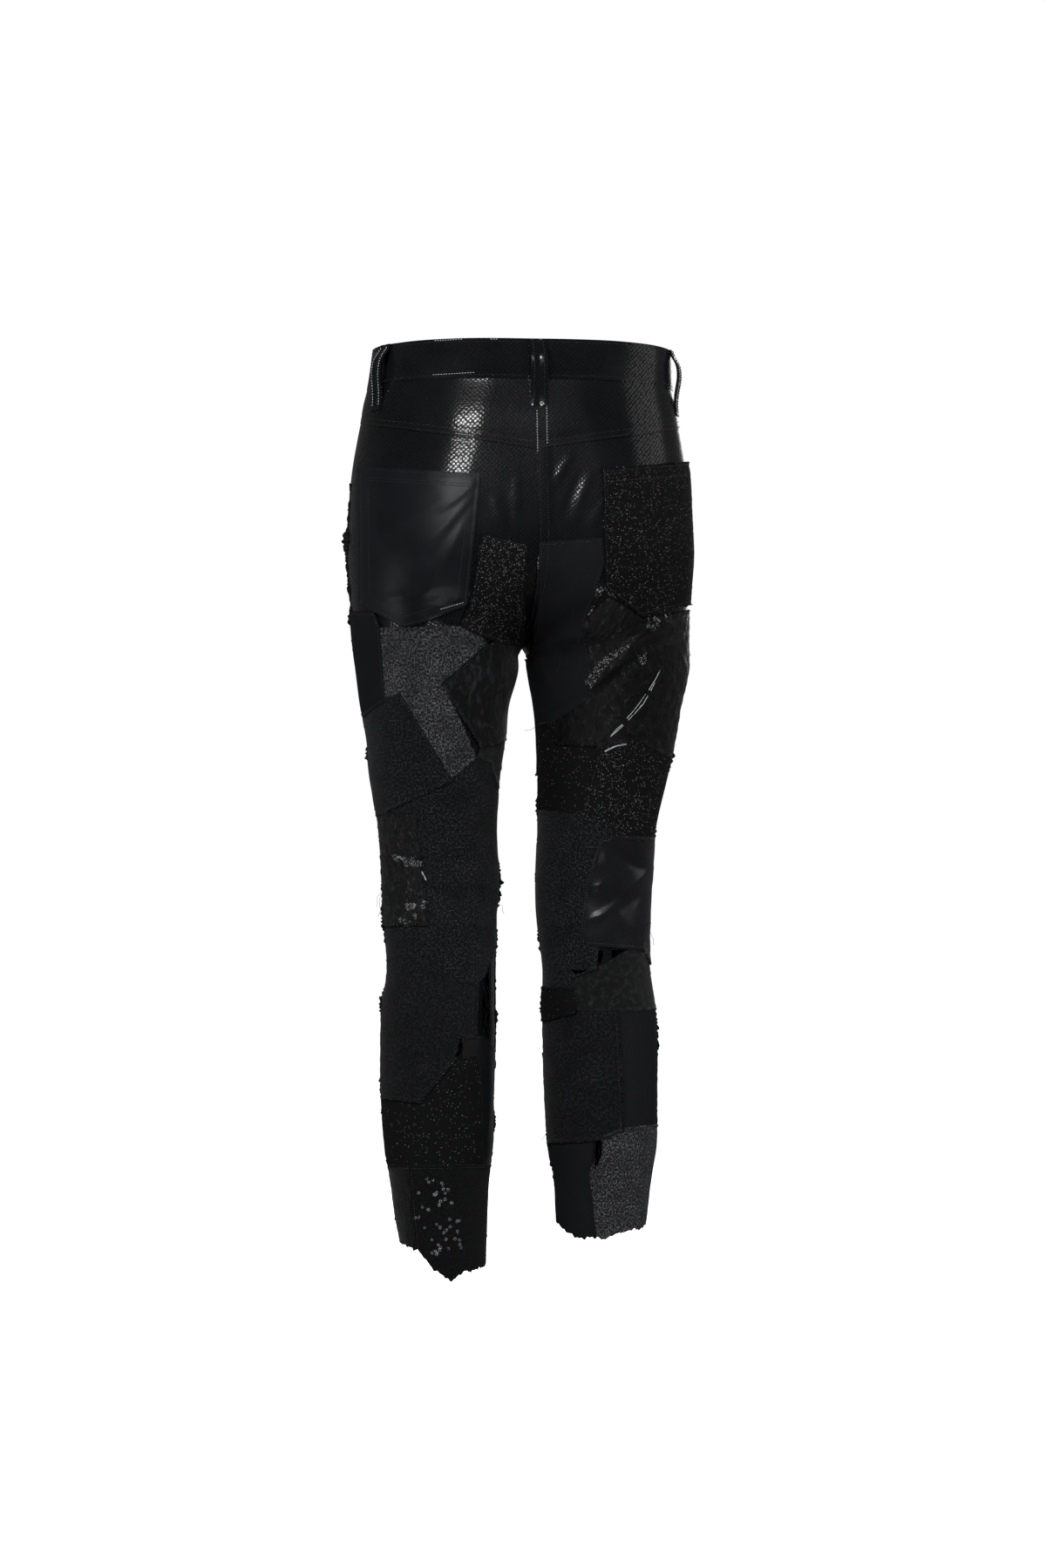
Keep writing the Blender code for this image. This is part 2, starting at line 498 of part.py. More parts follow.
def inset_outline(corners, distance):
    """The outline moved inwards by distance, outwards where it is negative."""
    area = sum(a[0] * b[1] - b[0] * a[1] for a, b in zip(corners, corners[1:] + corners[:1]))
    turn = 1 if area > 0 else -1
    moved = []
    for index, corner in enumerate(corners):
        before = Vector(corner) - Vector(corners[index - 1])
        after = Vector(corners[(index + 1) % len(corners)]) - Vector(corner)
        first = Vector((-before.y, before.x)).normalized() * turn
        second = Vector((-after.y, after.x)).normalized() * turn
        moved.append(Vector(corner) + (first + second) * (distance / (1 + first.dot(second))))
    return moved


def prism(name, corners, eye, near, far, collection):
    """Closed cutter whose sides run through the outline's edges and the eye."""
    block = bmesh.new()
    points = [drawing_point(corner, eye) for corner in corners]
    base = block.faces.new([block.verts.new(point.lerp(eye, far / VIEW_DISTANCE)) for point in points])
    top = bmesh.ops.extrude_face_region(block, geom=[base])["geom"]
    grow = (VIEW_DISTANCE - near) / (VIEW_DISTANCE - far)
    for vertex in [item for item in top if isinstance(item, bmesh.types.BMVert)]:
        vertex.co = eye + (vertex.co - eye) * grow
    bmesh.ops.recalc_face_normals(block, faces=block.faces)
    mesh = bpy.data.meshes.new(name)
    block.to_mesh(mesh)
    block.free()
    cutter = bpy.data.objects.new(name, mesh)
    cutter.hide_render = True
    cutter.display_type = "WIRE"
    collection.objects.link(cutter)
    return cutter


def view_point(panel):
    """Where the panel's elevation drawing is seen from."""
    turn = math.pi if panel.startswith("front") else VIEW_TURN
    return Vector((math.sin(turn) * VIEW_DISTANCE, math.cos(turn) * VIEW_DISTANCE, -VIEW_DROP))


def build_panels(parts, cutters):
    """Four leg panels, with the gaps of the patchwork cut through them."""
    for panel in HEMS:
        piece = add_object(panel, panel_mesh(panel, panel, 0.0, PANEL_WALL), "seat_coated", parts)
        for window in WINDOWS:
            if window.panel == panel:
                cutter = prism("cut_" + window.name, window.corners, view_point(panel), CUTTER_REACH,
                               0.0, cutters)
                cut(piece, cutter, "DIFFERENCE")


def build_patches(parts, cutters):
    """Patches, back pockets and the fly: each is cut from a sheet that lies on its panel."""
    sheets = {panel: panel_mesh("sheet_on_" + panel, panel, PATCH_LIFT, PATCH_WALL) for panel in HEMS}
    for patch in PATCHES:
        piece = add_object(patch.name, sheets[patch.panel].copy(), patch.cloth, parts)
        outline = inset_outline(patch.corners, 0.6 * SEAM_GAP)
        cutter = prism("outline_" + patch.name, outline, view_point(patch.panel), CUTTER_REACH,
                       -CUTTER_REACH, cutters)
        cut(piece, cutter, "INTERSECT")
    for sheet in sheets.values():
        bpy.data.meshes.remove(sheet)


def build_piping(parts, cutters):
    """Glossy piping sewn across the fur patch on the right thigh."""
    panel = "back_right"
    piece = add_object("piping", panel_mesh("piping", panel, PIPING_LIFT, PIPING_WALL), "satin", parts)
    cutter = prism("outline_piping", PIPING_CORNERS, view_point(panel), CUTTER_REACH, -CUTTER_REACH,
                   cutters)
    cut(piece, cutter, "INTERSECT")


def build_yokes(parts):
    """The V-shaped yoke between the waistband and the seat, one piece to each side."""
    for panel in ("back_left", "back_right"):
        def place(across, down, lift, panel=panel):
            high = WAISTBAND_DEPTH + SEAM_GAP
            low = yoke_drop(panel, across) - SEAM_GAP / 2
            return cloth_point(panel, across, high + down * (low - high), lift)

        name = panel.replace("back", "yoke")
        mesh = wall_mesh(name, PANEL_COLUMNS, 2, place, 0.0, PANEL_WALL)
        add_object(name, mesh, "seat_coated", parts)


def waist_place(turn):
    """Panel and share of a place round the waist: 0 centre front, 1 left side, 2 centre back."""
    turn = turn % 4.0
    quarters = ("front_left", "back_left", "back_right", "front_right")
    quarter = min(int(turn), 3)
    part = turn - quarter
    share = part if quarter in (0, 2) else 1.0 - part
    return quarters[quarter], share


def build_waistband(parts):
    """One band round the waist; its left end laps over its right end at the centre front."""
    quarter_length = bare_point("front_left", 0.0, 0.0)[1]
    start = -LAP / quarter_length
    facets = int(4 * quarter_length / RING_STEP)

    def place(across, down, lift):
        turn = start + across * (4.0 - start)
        panel, share = waist_place(turn)
        rise = min(max((LAP_RISE_START - turn) / LAP_RISE_LENGTH, 0.0), 1.0)
        lapped = (WAISTBAND_WALL + SEAM_GAP) * rise * rise * (3 - 2 * rise)
        drop = down * WAISTBAND_DEPTH
        return cloth_point(panel, share, drop, lift + lapped)

    mesh = wall_mesh("waistband", facets, 2, place, WAISTBAND_WALL / 2, WAISTBAND_WALL)
    add_object("waistband", mesh, "seat_coated", parts)


def loop_heights():
    """Side view of a belt loop: (drop, height above the panel) of its outer face, top to bottom."""
    clear = WAISTBAND_WALL / 2 + LOOP_STAND + LOOP_WALL
    rows = []
    for drop, part in LOOP_SIDE_VIEW:
        under = WAISTBAND_WALL / 2 if drop < WAISTBAND_DEPTH / 2 else 0.0
        seat = under + SEAM_GAP + LOOP_WALL
        rows.append((drop, seat + part * (clear - seat)))
    return rows


def build_loops(parts):
    """Five belt loops, each a strap that stands clear of the waistband."""
    rows = loop_heights()
    for name, panel, share in LOOPS:
        girth = bare_point(panel, share, 0.0)[1]

        def place(across, down, lift, panel=panel, share=share, girth=girth):
            row = down * (len(rows) - 1)
            drop = float(np.interp(row, range(len(rows)), [entry[0] for entry in rows]))
            height = float(np.interp(row, range(len(rows)), [entry[1] for entry in rows]))
            at = share + (across - 0.5) * LOOP_WIDTH / girth
            point = cloth_point(panel, abs(at), drop, height + lift)
            if at < 0.0:
                point.x = -point.x
            return point

        mesh = wall_mesh(name, 2, len(rows) - 1, place, 0.0, LOOP_WALL)
        add_object(name, mesh, "seat_coated", parts)


def build_button(parts):
    """Round metal button on the lapped end of the waistband."""
    share = LAP / 2 / bare_point("front_right", 0.0, 0.0)[1]
    drop = WAISTBAND_DEPTH / 2
    facing = outward("front_right", share, drop)
    lift = WAISTBAND_WALL / 2 + WAISTBAND_WALL + 3 * SEAM_GAP + BUTTON_HEIGHT / 2
    middle = cloth_point("front_right", share, drop, lift)
    disc = bmesh.new()
    bmesh.ops.create_cone(disc, cap_ends=True, segments=20, radius1=BUTTON_RADIUS,
                          radius2=BUTTON_RADIUS, depth=BUTTON_HEIGHT)
    mesh = bpy.data.meshes.new("button")
    disc.to_mesh(mesh)
    disc.free()
    piece = add_object("button", mesh, "button_metal", parts)
    piece.location = middle
    piece.rotation_euler = facing.to_track_quat("Z", "Y").to_euler()
    rim = piece.modifiers.new("rim", "BEVEL")
    rim.width = BUTTON_RIM
    rim.segments = 1
    mesh.shade_smooth()


def build_trousers():
    for leftover in list(bpy.data.objects):
        bpy.data.objects.remove(leftover)
    parts = bpy.data.collections.new("skinny_trousers")
    cutters = bpy.data.collections.new("cutters")
    for collection in (parts, cutters):
        bpy.context.scene.collection.children.link(collection)
    build_panels(parts, cutters)
    build_yokes(parts)
    build_patches(parts, cutters)
    build_piping(parts, cutters)
    build_waistband(parts)
    build_loops(parts)
    build_button(parts)


build_trousers()
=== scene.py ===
import math
from collections import namedtuple

import bmesh
import bpy
import numpy as np
from mathutils import Matrix, Vector
from mathutils.bvhtree import BVHTree


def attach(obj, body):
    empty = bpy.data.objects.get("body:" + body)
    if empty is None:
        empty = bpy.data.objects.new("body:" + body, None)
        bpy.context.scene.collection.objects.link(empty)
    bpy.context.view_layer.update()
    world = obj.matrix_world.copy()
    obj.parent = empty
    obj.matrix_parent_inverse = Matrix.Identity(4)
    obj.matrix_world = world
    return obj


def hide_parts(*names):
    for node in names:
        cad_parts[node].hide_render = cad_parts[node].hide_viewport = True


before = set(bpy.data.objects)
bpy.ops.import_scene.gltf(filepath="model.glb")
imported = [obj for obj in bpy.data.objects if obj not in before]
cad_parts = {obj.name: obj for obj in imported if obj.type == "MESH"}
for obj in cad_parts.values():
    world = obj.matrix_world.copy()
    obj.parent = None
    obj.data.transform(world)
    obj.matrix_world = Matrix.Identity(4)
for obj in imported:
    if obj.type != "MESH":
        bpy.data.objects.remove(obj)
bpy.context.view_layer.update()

# Skinny patchwork trousers in their hollow worn shape. Metres; the front faces -Y and the wearer's left
# leg is on +X. The sizes, outlines and folds down to LOOPS are the solids' own.
WAISTBAND_DEPTH = 0.038
CROTCH_DROP = 0.287
SEAT_CURVE_START = 0.170
YOKE_DROP_CENTRE = 0.1035
YOKE_DROP_SIDE = 0.0705
BACK_RISE = 0.0031
FRONT_DIP = 0.019
RISE_FADES_BY = 0.250
SEAM_GAP = 0.0003
LOOP_WIDTH = 0.016
LOOP_STAND = 0.0072
LOOP_END = 0.064
LAP = 0.030                  # the waistband's left end over its right end
LAP_RISE = 0.0023
LAP_RAMP = (0.16, 0.14)      # where the raised end is down again and how long that takes, in quarters
FELLED_WIDTH = 0.011
BUTTON_RADIUS = 0.0085
BUTTON_HEIGHT = 0.0038
VIEW_DISTANCE = 4.0
VIEW_TURN = math.radians(8.0)
VIEW_DROP = 0.421
PIXEL = 0.00085              # the photograph's pixel on an upright plane through the origin
ORIGIN_COLUMN, ORIGIN_ROW = 597, 404
TOP_ROWS_END = 0.160
HEM_ROWS_START = 0.754
LOWEST_LEVEL = 0.860
SEAT_END = 0.285             # the coated cloth shows down to here and has fine rows
PANEL_WIDTH = 0.235
WALL = 0.0010                # thickness of a cloth that WALLS doesn't name
LAYER_STEP = 0.0006
YOKE_LAP = 0.0012
WAISTBAND_ROWS = (0.0028, WAISTBAND_DEPTH - 0.0030)      # rows of stitches, as drops
YOKE_ROWS = (0.0018, 0.0065)                             # above the yoke's lower edge
FELLED_ROWS = (0.0018, FELLED_WIDTH - 0.0018)            # from the centre back
RUN_STEP = 0.0012            # between points where a line of the drawing is laid on the cloth
CLEAR = 0.0002               # small trims lie this far off the cloth
SEAM_PITCH = 0.0026          # from stitch to stitch on the seams, and on the patches
PATCH_PITCH = 0.0027
FLOOR_DROP = 1.15
PHOTO_MIDDLE = 600           # the middle column of the photograph

SPACING = 0.0028     # cloth grid on the patches
BASE_SPACING = 0.0034

# Half sections of the worn shape, level by level
Section = namedtuple("Section", "drop left_column right_column half_width back front seam_y")
SECTIONS = [
    Section(0.000, 0.0280, 0.0320, 0.1155, 0.094, 0.090, 0.000),
    Section(0.040, 0.0370, 0.0360, 0.1125, 0.098, 0.092, 0.001),
    Section(0.080, 0.0475, 0.0460, 0.1105, 0.106, 0.093, 0.002),
    Section(0.120, 0.0590, 0.0565, 0.1060, 0.114, 0.093, 0.003),
    Section(0.160, 0.0690, 0.0650, 0.0990, 0.120, 0.091, 0.004),
    Section(0.200, 0.0780, 0.0730, 0.0922, 0.122, 0.088, 0.005),
    Section(0.240, 0.0835, 0.0790, 0.0835, 0.116, 0.084, 0.005),
    Section(0.280, 0.0850, 0.0835, 0.0785, 0.103, 0.079, 0.004),
    Section(0.311, 0.0825, 0.0855, 0.0770, 0.093, 0.075, 0.003),
    Section(0.345, 0.0847, 0.0850, 0.0702, 0.085, 0.071, 0.002),
    Section(0.379, 0.0830, 0.0838, 0.0660, 0.078, 0.067, 0.001),
    Section(0.413, 0.0840, 0.0806, 0.0622, 0.072, 0.063, 0.000),
    Section(0.464, 0.0814, 0.0750, 0.0563, 0.063, 0.059, 0.000),
    Section(0.515, 0.0785, 0.0720, 0.0554, 0.057, 0.057, 0.002),
    Section(0.549, 0.0796, 0.0710, 0.0539, 0.055, 0.054, 0.005),
    Section(0.600, 0.0786, 0.0733, 0.0512, 0.053, 0.050, 0.010),
    Section(0.635, 0.0815, 0.0752, 0.0537, 0.055, 0.049, 0.013),
    Section(0.660, 0.0820, 0.0761, 0.0544, 0.054, 0.047, 0.015),
    Section(0.720, 0.0835, 0.0765, 0.0533, 0.051, 0.043, 0.019),
    Section(0.770, 0.0825, 0.0773, 0.0513, 0.047, 0.041, 0.021),
    Section(0.804, 0.0820, 0.0770, 0.0462, 0.044, 0.039, 0.022),
    Section(0.838, 0.0805, 0.0760, 0.0432, 0.0415, 0.0375, 0.022),
    Section(0.872, 0.0780, 0.0750, 0.0395, 0.040, 0.0365, 0.022),
    Section(0.912, 0.0770, 0.0745, 0.0375, 0.039, 0.036, 0.022),
]

# The raw hems: (share of the way from the inner seam to the side seam, drop)
HEMS = {
    "back_left": [(0.0, 0.884), (0.37, 0.888), (0.50, 0.897), (0.62, 0.885), (0.75, 0.867), (1.0, 0.862)],
    "back_right": [(0.0, 0.846), (0.12, 0.850), (0.25, 0.858), (0.50, 0.858), (0.62, 0.852), (1.0, 0.848)],
    "front_left": [(0.0, 0.884), (0.25, 0.876), (0.50, 0.880), (0.75, 0.868), (1.0, 0.862)],
    "front_right": [(0.0, 0.846), (0.37, 0.853), (0.62, 0.845), (1.0, 0.848)],
}

# The solids' folds: half length, half width, slope in degrees, height
Fold = namedtuple("Fold", "panel share drop length width slope height")
FOLDS = [Fold(panel, *row) for panel, rows in (
    ("back_left", [(0.30, 0.262, 0.050, 0.016, 28, -0.0035), (0.38, 0.300, 0.046, 0.017, 14, -0.0026),
        (0.46, 0.498, 0.044, 0.015, -12, -0.0032), (0.40, 0.530, 0.040, 0.014, 10, -0.0028),
        (0.55, 0.700, 0.040, 0.018, -20, 0.0016)]),
    ("back_right", [(0.26, 0.258, 0.048, 0.016, 32, -0.0035), (0.36, 0.294, 0.048, 0.017, 18, -0.0028),
        (0.50, 0.502, 0.044, 0.015, 14, -0.0034), (0.58, 0.534, 0.038, 0.014, -8, -0.0028),
        (0.45, 0.706, 0.040, 0.018, 18, 0.0016)]),
    ("front_left", [(0.34, 0.268, 0.060, 0.018, 36, -0.0030), (0.45, 0.520, 0.044, 0.017, -10, -0.0026)]),
    ("front_right", [(0.36, 0.262, 0.056, 0.018, 33, -0.0030), (0.55, 0.508, 0.044, 0.017, 12, -0.0026)]),
) for row in rows]


def to_metres(corners):
    """An outline given in millimetres."""
    return [(across / 1000, down / 1000) for across, down in corners]


Patch = namedtuple("Patch", "name panel cloth corners")
# Cut pieces in the order in which they are laid: name, cloth and outline on the panel's drawing, in mm
PATCH_ROWS = [
    ("back_left", [
        ("pocket_left", "coated_navy", [(156, 114), (41, 121), (54, 246), (112, 266), (155, 243)]),
        ("patch_left_side_twill", "twill", [(193, 255), (143, 255), (138, 268), (133, 339), (151, 354),
         (193, 355)]),
        ("patch_left_thigh_melange", "melange", [(138, 269), (56, 267), (38, 275), (34, 288), (75, 323),
         (43, 395), (69, 416), (117, 334), (133, 339)]),
        ("patch_left_inner_glitter", "glitter", [(36, 178), (-5, 187), (-2, 262), (3, 284), (18, 282),
         (38, 275), (56, 266), (48, 249)]),
        ("patch_left_inner_velvet", "velvet", [(75, 323), (34, 288), (18, 282), (3, 284), (-6, 296),
         (-6, 370), (39, 383)]),
        ("patch_left_thigh_wool", "wool", [(193, 355), (151, 354), (133, 339), (117, 334), (69, 416),
         (137, 450), (193, 456)]),
        ("patch_left_inner_suede", "suede", [(43, 395), (39, 383), (-6, 370), (-6, 424), (23, 424),
         (31, 399)]),
        ("patch_left_knee_wool", "wool", [(69, 416), (43, 395), (31, 399), (23, 424), (-6, 424),
         (-6, 579), (27, 586), (37, 610), (44, 618), (60, 615), (108, 587), (132, 595), (193, 597),
         (193, 557), (92, 557), (98, 496), (103, 451), (137, 450)]),
        ("patch_left_knee_crushed_upper", "crushed_velvet", [(193, 456), (137, 450), (103, 451),
         (98, 496), (193, 489)]),
        ("patch_left_knee_crushed_lower", "crushed_velvet", [(193, 489), (98, 496), (92, 557),
         (193, 557)]),
        ("patch_left_calf_boucle", "boucle", [(193, 597), (132, 595), (108, 587), (60, 615), (44, 618),
         (46, 667), (57, 667), (65, 688), (76, 702), (98, 730), (193, 718)]),
        ("patch_left_calf_satin", "satin", [(57, 667), (37, 667), (25, 679), (-6, 682), (-6, 794),
         (39, 794), (39, 711), (43, 687), (57, 688)]),
        ("patch_left_calf_lurex", "lurex", [(193, 718), (98, 730), (76, 702), (65, 688), (43, 687),
         (39, 711), (39, 794), (108, 795), (193, 794)]),
        ("patch_left_hem_sequin", "sequin", [(108, 795), (39, 794), (-6, 794), (-6, 930), (98, 930),
         (101, 872)]),
        ("patch_left_hem_fuzzy", "fuzzy_wool", [(193, 794), (108, 795), (101, 872), (98, 930),
         (193, 930)]),
    ]),
    ("back_right", [
        ("pocket_right", "boucle_sparkle", [(-82, 116), (-170, 109), (-173, 241), (-119, 255),
         (-85, 228)]),
        ("patch_right_thigh_twill", "twill", [(-20, 187), (-78, 183), (-81, 205), (-60, 268), (-68, 304),
         (-69, 335), (-35, 360), (4, 368), (4, 302), (-12, 294), (-19, 252)]),
        ("patch_right_thigh_fur", "fur", [(-60, 268), (-82, 235), (-119, 260), (-194, 246), (-194, 398),
         (-149, 398), (-112, 378), (-80, 384), (-37, 382), (-35, 360), (-69, 335), (-68, 304)]),
        ("patch_right_inner_glitter", "dark_glitter", [(-37, 382), (-80, 384), (-71, 411), (-60, 454),
         (-26, 449), (4, 449), (4, 368), (-35, 360)]),
        ("patch_right_knee_glitter", "glitter", [(-80, 384), (-112, 378), (-149, 398), (-194, 398),
         (-194, 475), (-129, 475), (-93, 473), (-93, 462), (-60, 454), (-71, 411)]),
        ("patch_right_knee_wool", "wool", [(4, 449), (-26, 449), (-60, 454), (-93, 462), (-93, 473),
         (-79, 476), (-65, 521), (-60, 576), (-74, 581), (-73, 600), (-49, 609), (-51, 623), (-25, 621),
         (4, 621)]),
        ("patch_right_knee_coated", "coated", [(-79, 476), (-93, 473), (-129, 475), (-194, 475),
         (-194, 556), (-124, 558), (-120, 581), (-60, 576), (-65, 521)]),
        ("patch_right_side_tweed", "tweed", [(-124, 558), (-194, 556), (-194, 595), (-126, 595),
         (-120, 581)]),
        ("patch_right_calf_suede", "suede", [(-51, 610), (-73, 601), (-87, 594), (-106, 582), (-120, 581),
         (-126, 595), (-194, 595), (-194, 636), (-94, 643), (-54, 643), (-51, 623)]),
        ("patch_right_calf_lurex", "lurex", [(4, 621), (-25, 621), (-51, 623), (-54, 643), (-27, 650),
         (4, 650)]),
        ("patch_right_calf_boucle", "boucle", [(4, 650), (-27, 650), (-54, 643), (-94, 643), (-99, 758),
         (-82, 765), (-71, 767), (-30, 769), (4, 769)]),
        ("patch_right_calf_knit", "knit", [(-94, 643), (-194, 636), (-194, 754), (-132, 755),
         (-99, 758)]),
        ("patch_right_hem_twill", "twill", [(4, 769), (-30, 769), (-71, 767), (-70, 801), (-76, 858),
         (-78, 930), (4, 930)]),
        ("patch_right_hem_melange", "melange", [(-82, 765), (-99, 758), (-132, 755), (-194, 754),
         (-194, 930), (-78, 930), (-76, 858), (-70, 801)]),
    ]),
    ("front_left", [
        ("patch_front_left_thigh_twill", "twill", [(193, 250), (120, 262), (98, 330), (128, 393),
         (193, 401)]),
        ("patch_front_left_thigh_velvet", "velvet", [(120, 262), (40, 285), (-6, 304), (-6, 393),
         (60, 373), (98, 330)]),
        ("patch_front_left_thigh_melange", "melange", [(98, 330), (60, 373), (-6, 393), (-6, 456),
         (80, 471), (193, 456), (193, 401), (128, 393)]),
        ("patch_front_left_knee_coated", "coated", [(193, 456), (80, 471), (-6, 456), (-6, 561),
         (70, 549), (193, 571)]),
        ("patch_front_left_shin_boucle", "boucle", [(193, 571), (70, 549), (-6, 561), (-6, 669),
         (92, 651), (193, 691)]),
        ("patch_front_left_shin_lurex", "lurex", [(193, 691), (92, 651), (-6, 669), (-6, 783), (60, 771),
         (193, 793)]),
        ("patch_front_left_hem_wool", "fuzzy_wool", [(193, 793), (60, 771), (-6, 783), (-6, 930),
         (193, 930)]),
    ]),
    ("front_right", [
        ("patch_front_right_thigh_melange", "melange", [(-194, 246), (-128, 258), (-87, 318), (-118, 373),
         (-194, 367)]),
        ("patch_front_right_thigh_wool", "wool", [(-128, 258), (-40, 288), (4, 305), (4, 405), (-70, 421),
         (-118, 373), (-87, 318)]),
        ("patch_front_right_thigh_glitter", "glitter", [(-194, 367), (-118, 373), (-70, 421), (4, 405),
         (4, 471), (-90, 489), (-194, 471)]),
        ("patch_front_right_knee_twill", "twill", [(-194, 471), (-90, 489), (4, 471), (4, 591),
         (-84, 573), (-194, 561)]),
        ("patch_front_right_shin_knit", "knit", [(-194, 561), (-84, 573), (4, 591), (4, 691), (-70, 673),
         (-194, 661)]),
        ("patch_front_right_shin_boucle", "boucle", [(-194, 661), (-70, 673), (4, 691), (4, 793),
         (-96, 777), (-194, 765)]),
        ("patch_front_right_hem_coated", "coated", [(-194, 765), (-96, 777), (4, 793), (4, 930),
         (-194, 930)]),
    ]),
    ("front_left", [
        ("fly", "coated", [(1.5, 30), (36, 30), (36, 150), (30, 176), (16, 190), (1.5, 194)]),
    ]),
]
PATCHES = [Patch(name, panel, cloth, to_metres(corners))
           for panel, rows in PATCH_ROWS for name, cloth, corners in rows]

PIPING_CORNERS = to_metres([(-133, 310), (-138, 312), (-119, 347), (-87, 379), (-84, 374), (-115, 343)])

# Gaps in the patchwork that go right through, in mm
Window = namedtuple("Window", "name panel corners")
WINDOWS = [Window(name, panel, to_metres(corners)) for name, panel, corners in (
    ("left_inner_calf", "back_left", [(31, 594), (37, 611), (37, 664), (30, 670), (29, 630)]),
    ("left_calf_slit", "back_left", [(59, 668), (56, 679), (60, 687), (64, 686)]),
    ("right_knee_slit", "back_right", [(-75.5, 583), (-81, 583), (-80, 595), (-74.5, 598)]),
    ("right_knee_wedge", "back_right", [(-88, 583), (-103, 582.5), (-89, 592)]),
    ("right_calf_slit", "back_right", [(-50, 602), (-68, 602.5), (-54, 607.5)]),
    ("right_hem_slit", "back_right", [(-73.5, 769), (-80, 768), (-79, 784), (-72.5, 798)]),
)]

# Patches sewn over their neighbours: 1 laps over the plain ones, 2 over both
LAYERS = dict.fromkeys((
    "patch_left_inner_glitter", "patch_left_inner_velvet", "patch_left_knee_crushed_upper",
    "patch_left_thigh_wool", "patch_left_calf_boucle", "patch_left_hem_sequin", "patch_right_thigh_twill",
    "patch_right_knee_glitter", "patch_right_knee_wool", "patch_right_calf_boucle", "patch_right_side_tweed",
    "patch_right_hem_melange", "patch_front_left_thigh_velvet", "patch_front_left_knee_coated",
    "patch_front_left_shin_lurex", "patch_front_right_thigh_wool", "patch_front_right_knee_twill",
    "patch_front_right_shin_boucle"), 1) | dict.fromkeys((
        "pocket_left", "patch_left_side_twill", "patch_left_knee_crushed_lower", "pocket_right",
        "patch_right_knee_coated", "patch_right_calf_lurex", "fly"), 2)
OVERLAPS = (0.0, 0.0018, 0.0022)
# Thickness of each cloth where it isn't 1 mm, how deep and wide its own unevenness is, and its longest fray
WALLS = {"wool": 0.0013, "fuzzy_wool": 0.0016, "boucle": 0.0016, "boucle_sparkle": 0.0017, "fur": 0.0018,
         "velvet": 0.0012, "melange": 0.0012, "tweed": 0.0014}
SURFACE_RELIEF = {
    "boucle": (0.0004, 0.0050), "boucle_sparkle": (0.0004, 0.0050), "fuzzy_wool": (0.0004, 0.0060),
    "fur": (0.0006, 0.0080), "crushed_velvet": (0.0005, 0.0075), "coated": (0.0003, 0.014),
    "wool": (0.00025, 0.012), "melange": (0.0002, 0.010), "lurex": (0.0003, 0.0060),
}
FRAYS = {"boucle": 0.0042, "boucle_sparkle": 0.0045, "fuzzy_wool": 0.0050, "melange": 0.0034}
TURNED_EDGES = {"coated", "coated_navy", "twill", "satin"}

# Side view of a belt loop: drop, and how far it stands up from what it is sewn to
LOOP_SIDE_VIEW = [
    (0.0005, 0.0), (0.0045, 0.0), (0.0085, 0.42), (0.0125, 0.80), (0.0165, 1.0), (0.0240, 1.07),
    (0.0310, 1.0), (0.0400, 0.66), (0.0500, 0.26), (0.0580, 0.02), (LOOP_END, 0.0),
]
LOOPS = [
    ("loop_back", "back_right", 0.017),
    ("loop_side_left", "back_left", 0.80),
    ("loop_side_right", "back_right", 0.86),
    ("loop_front_left", "front_left", 0.52),
    ("loop_front_right", "front_right", 0.52),
]

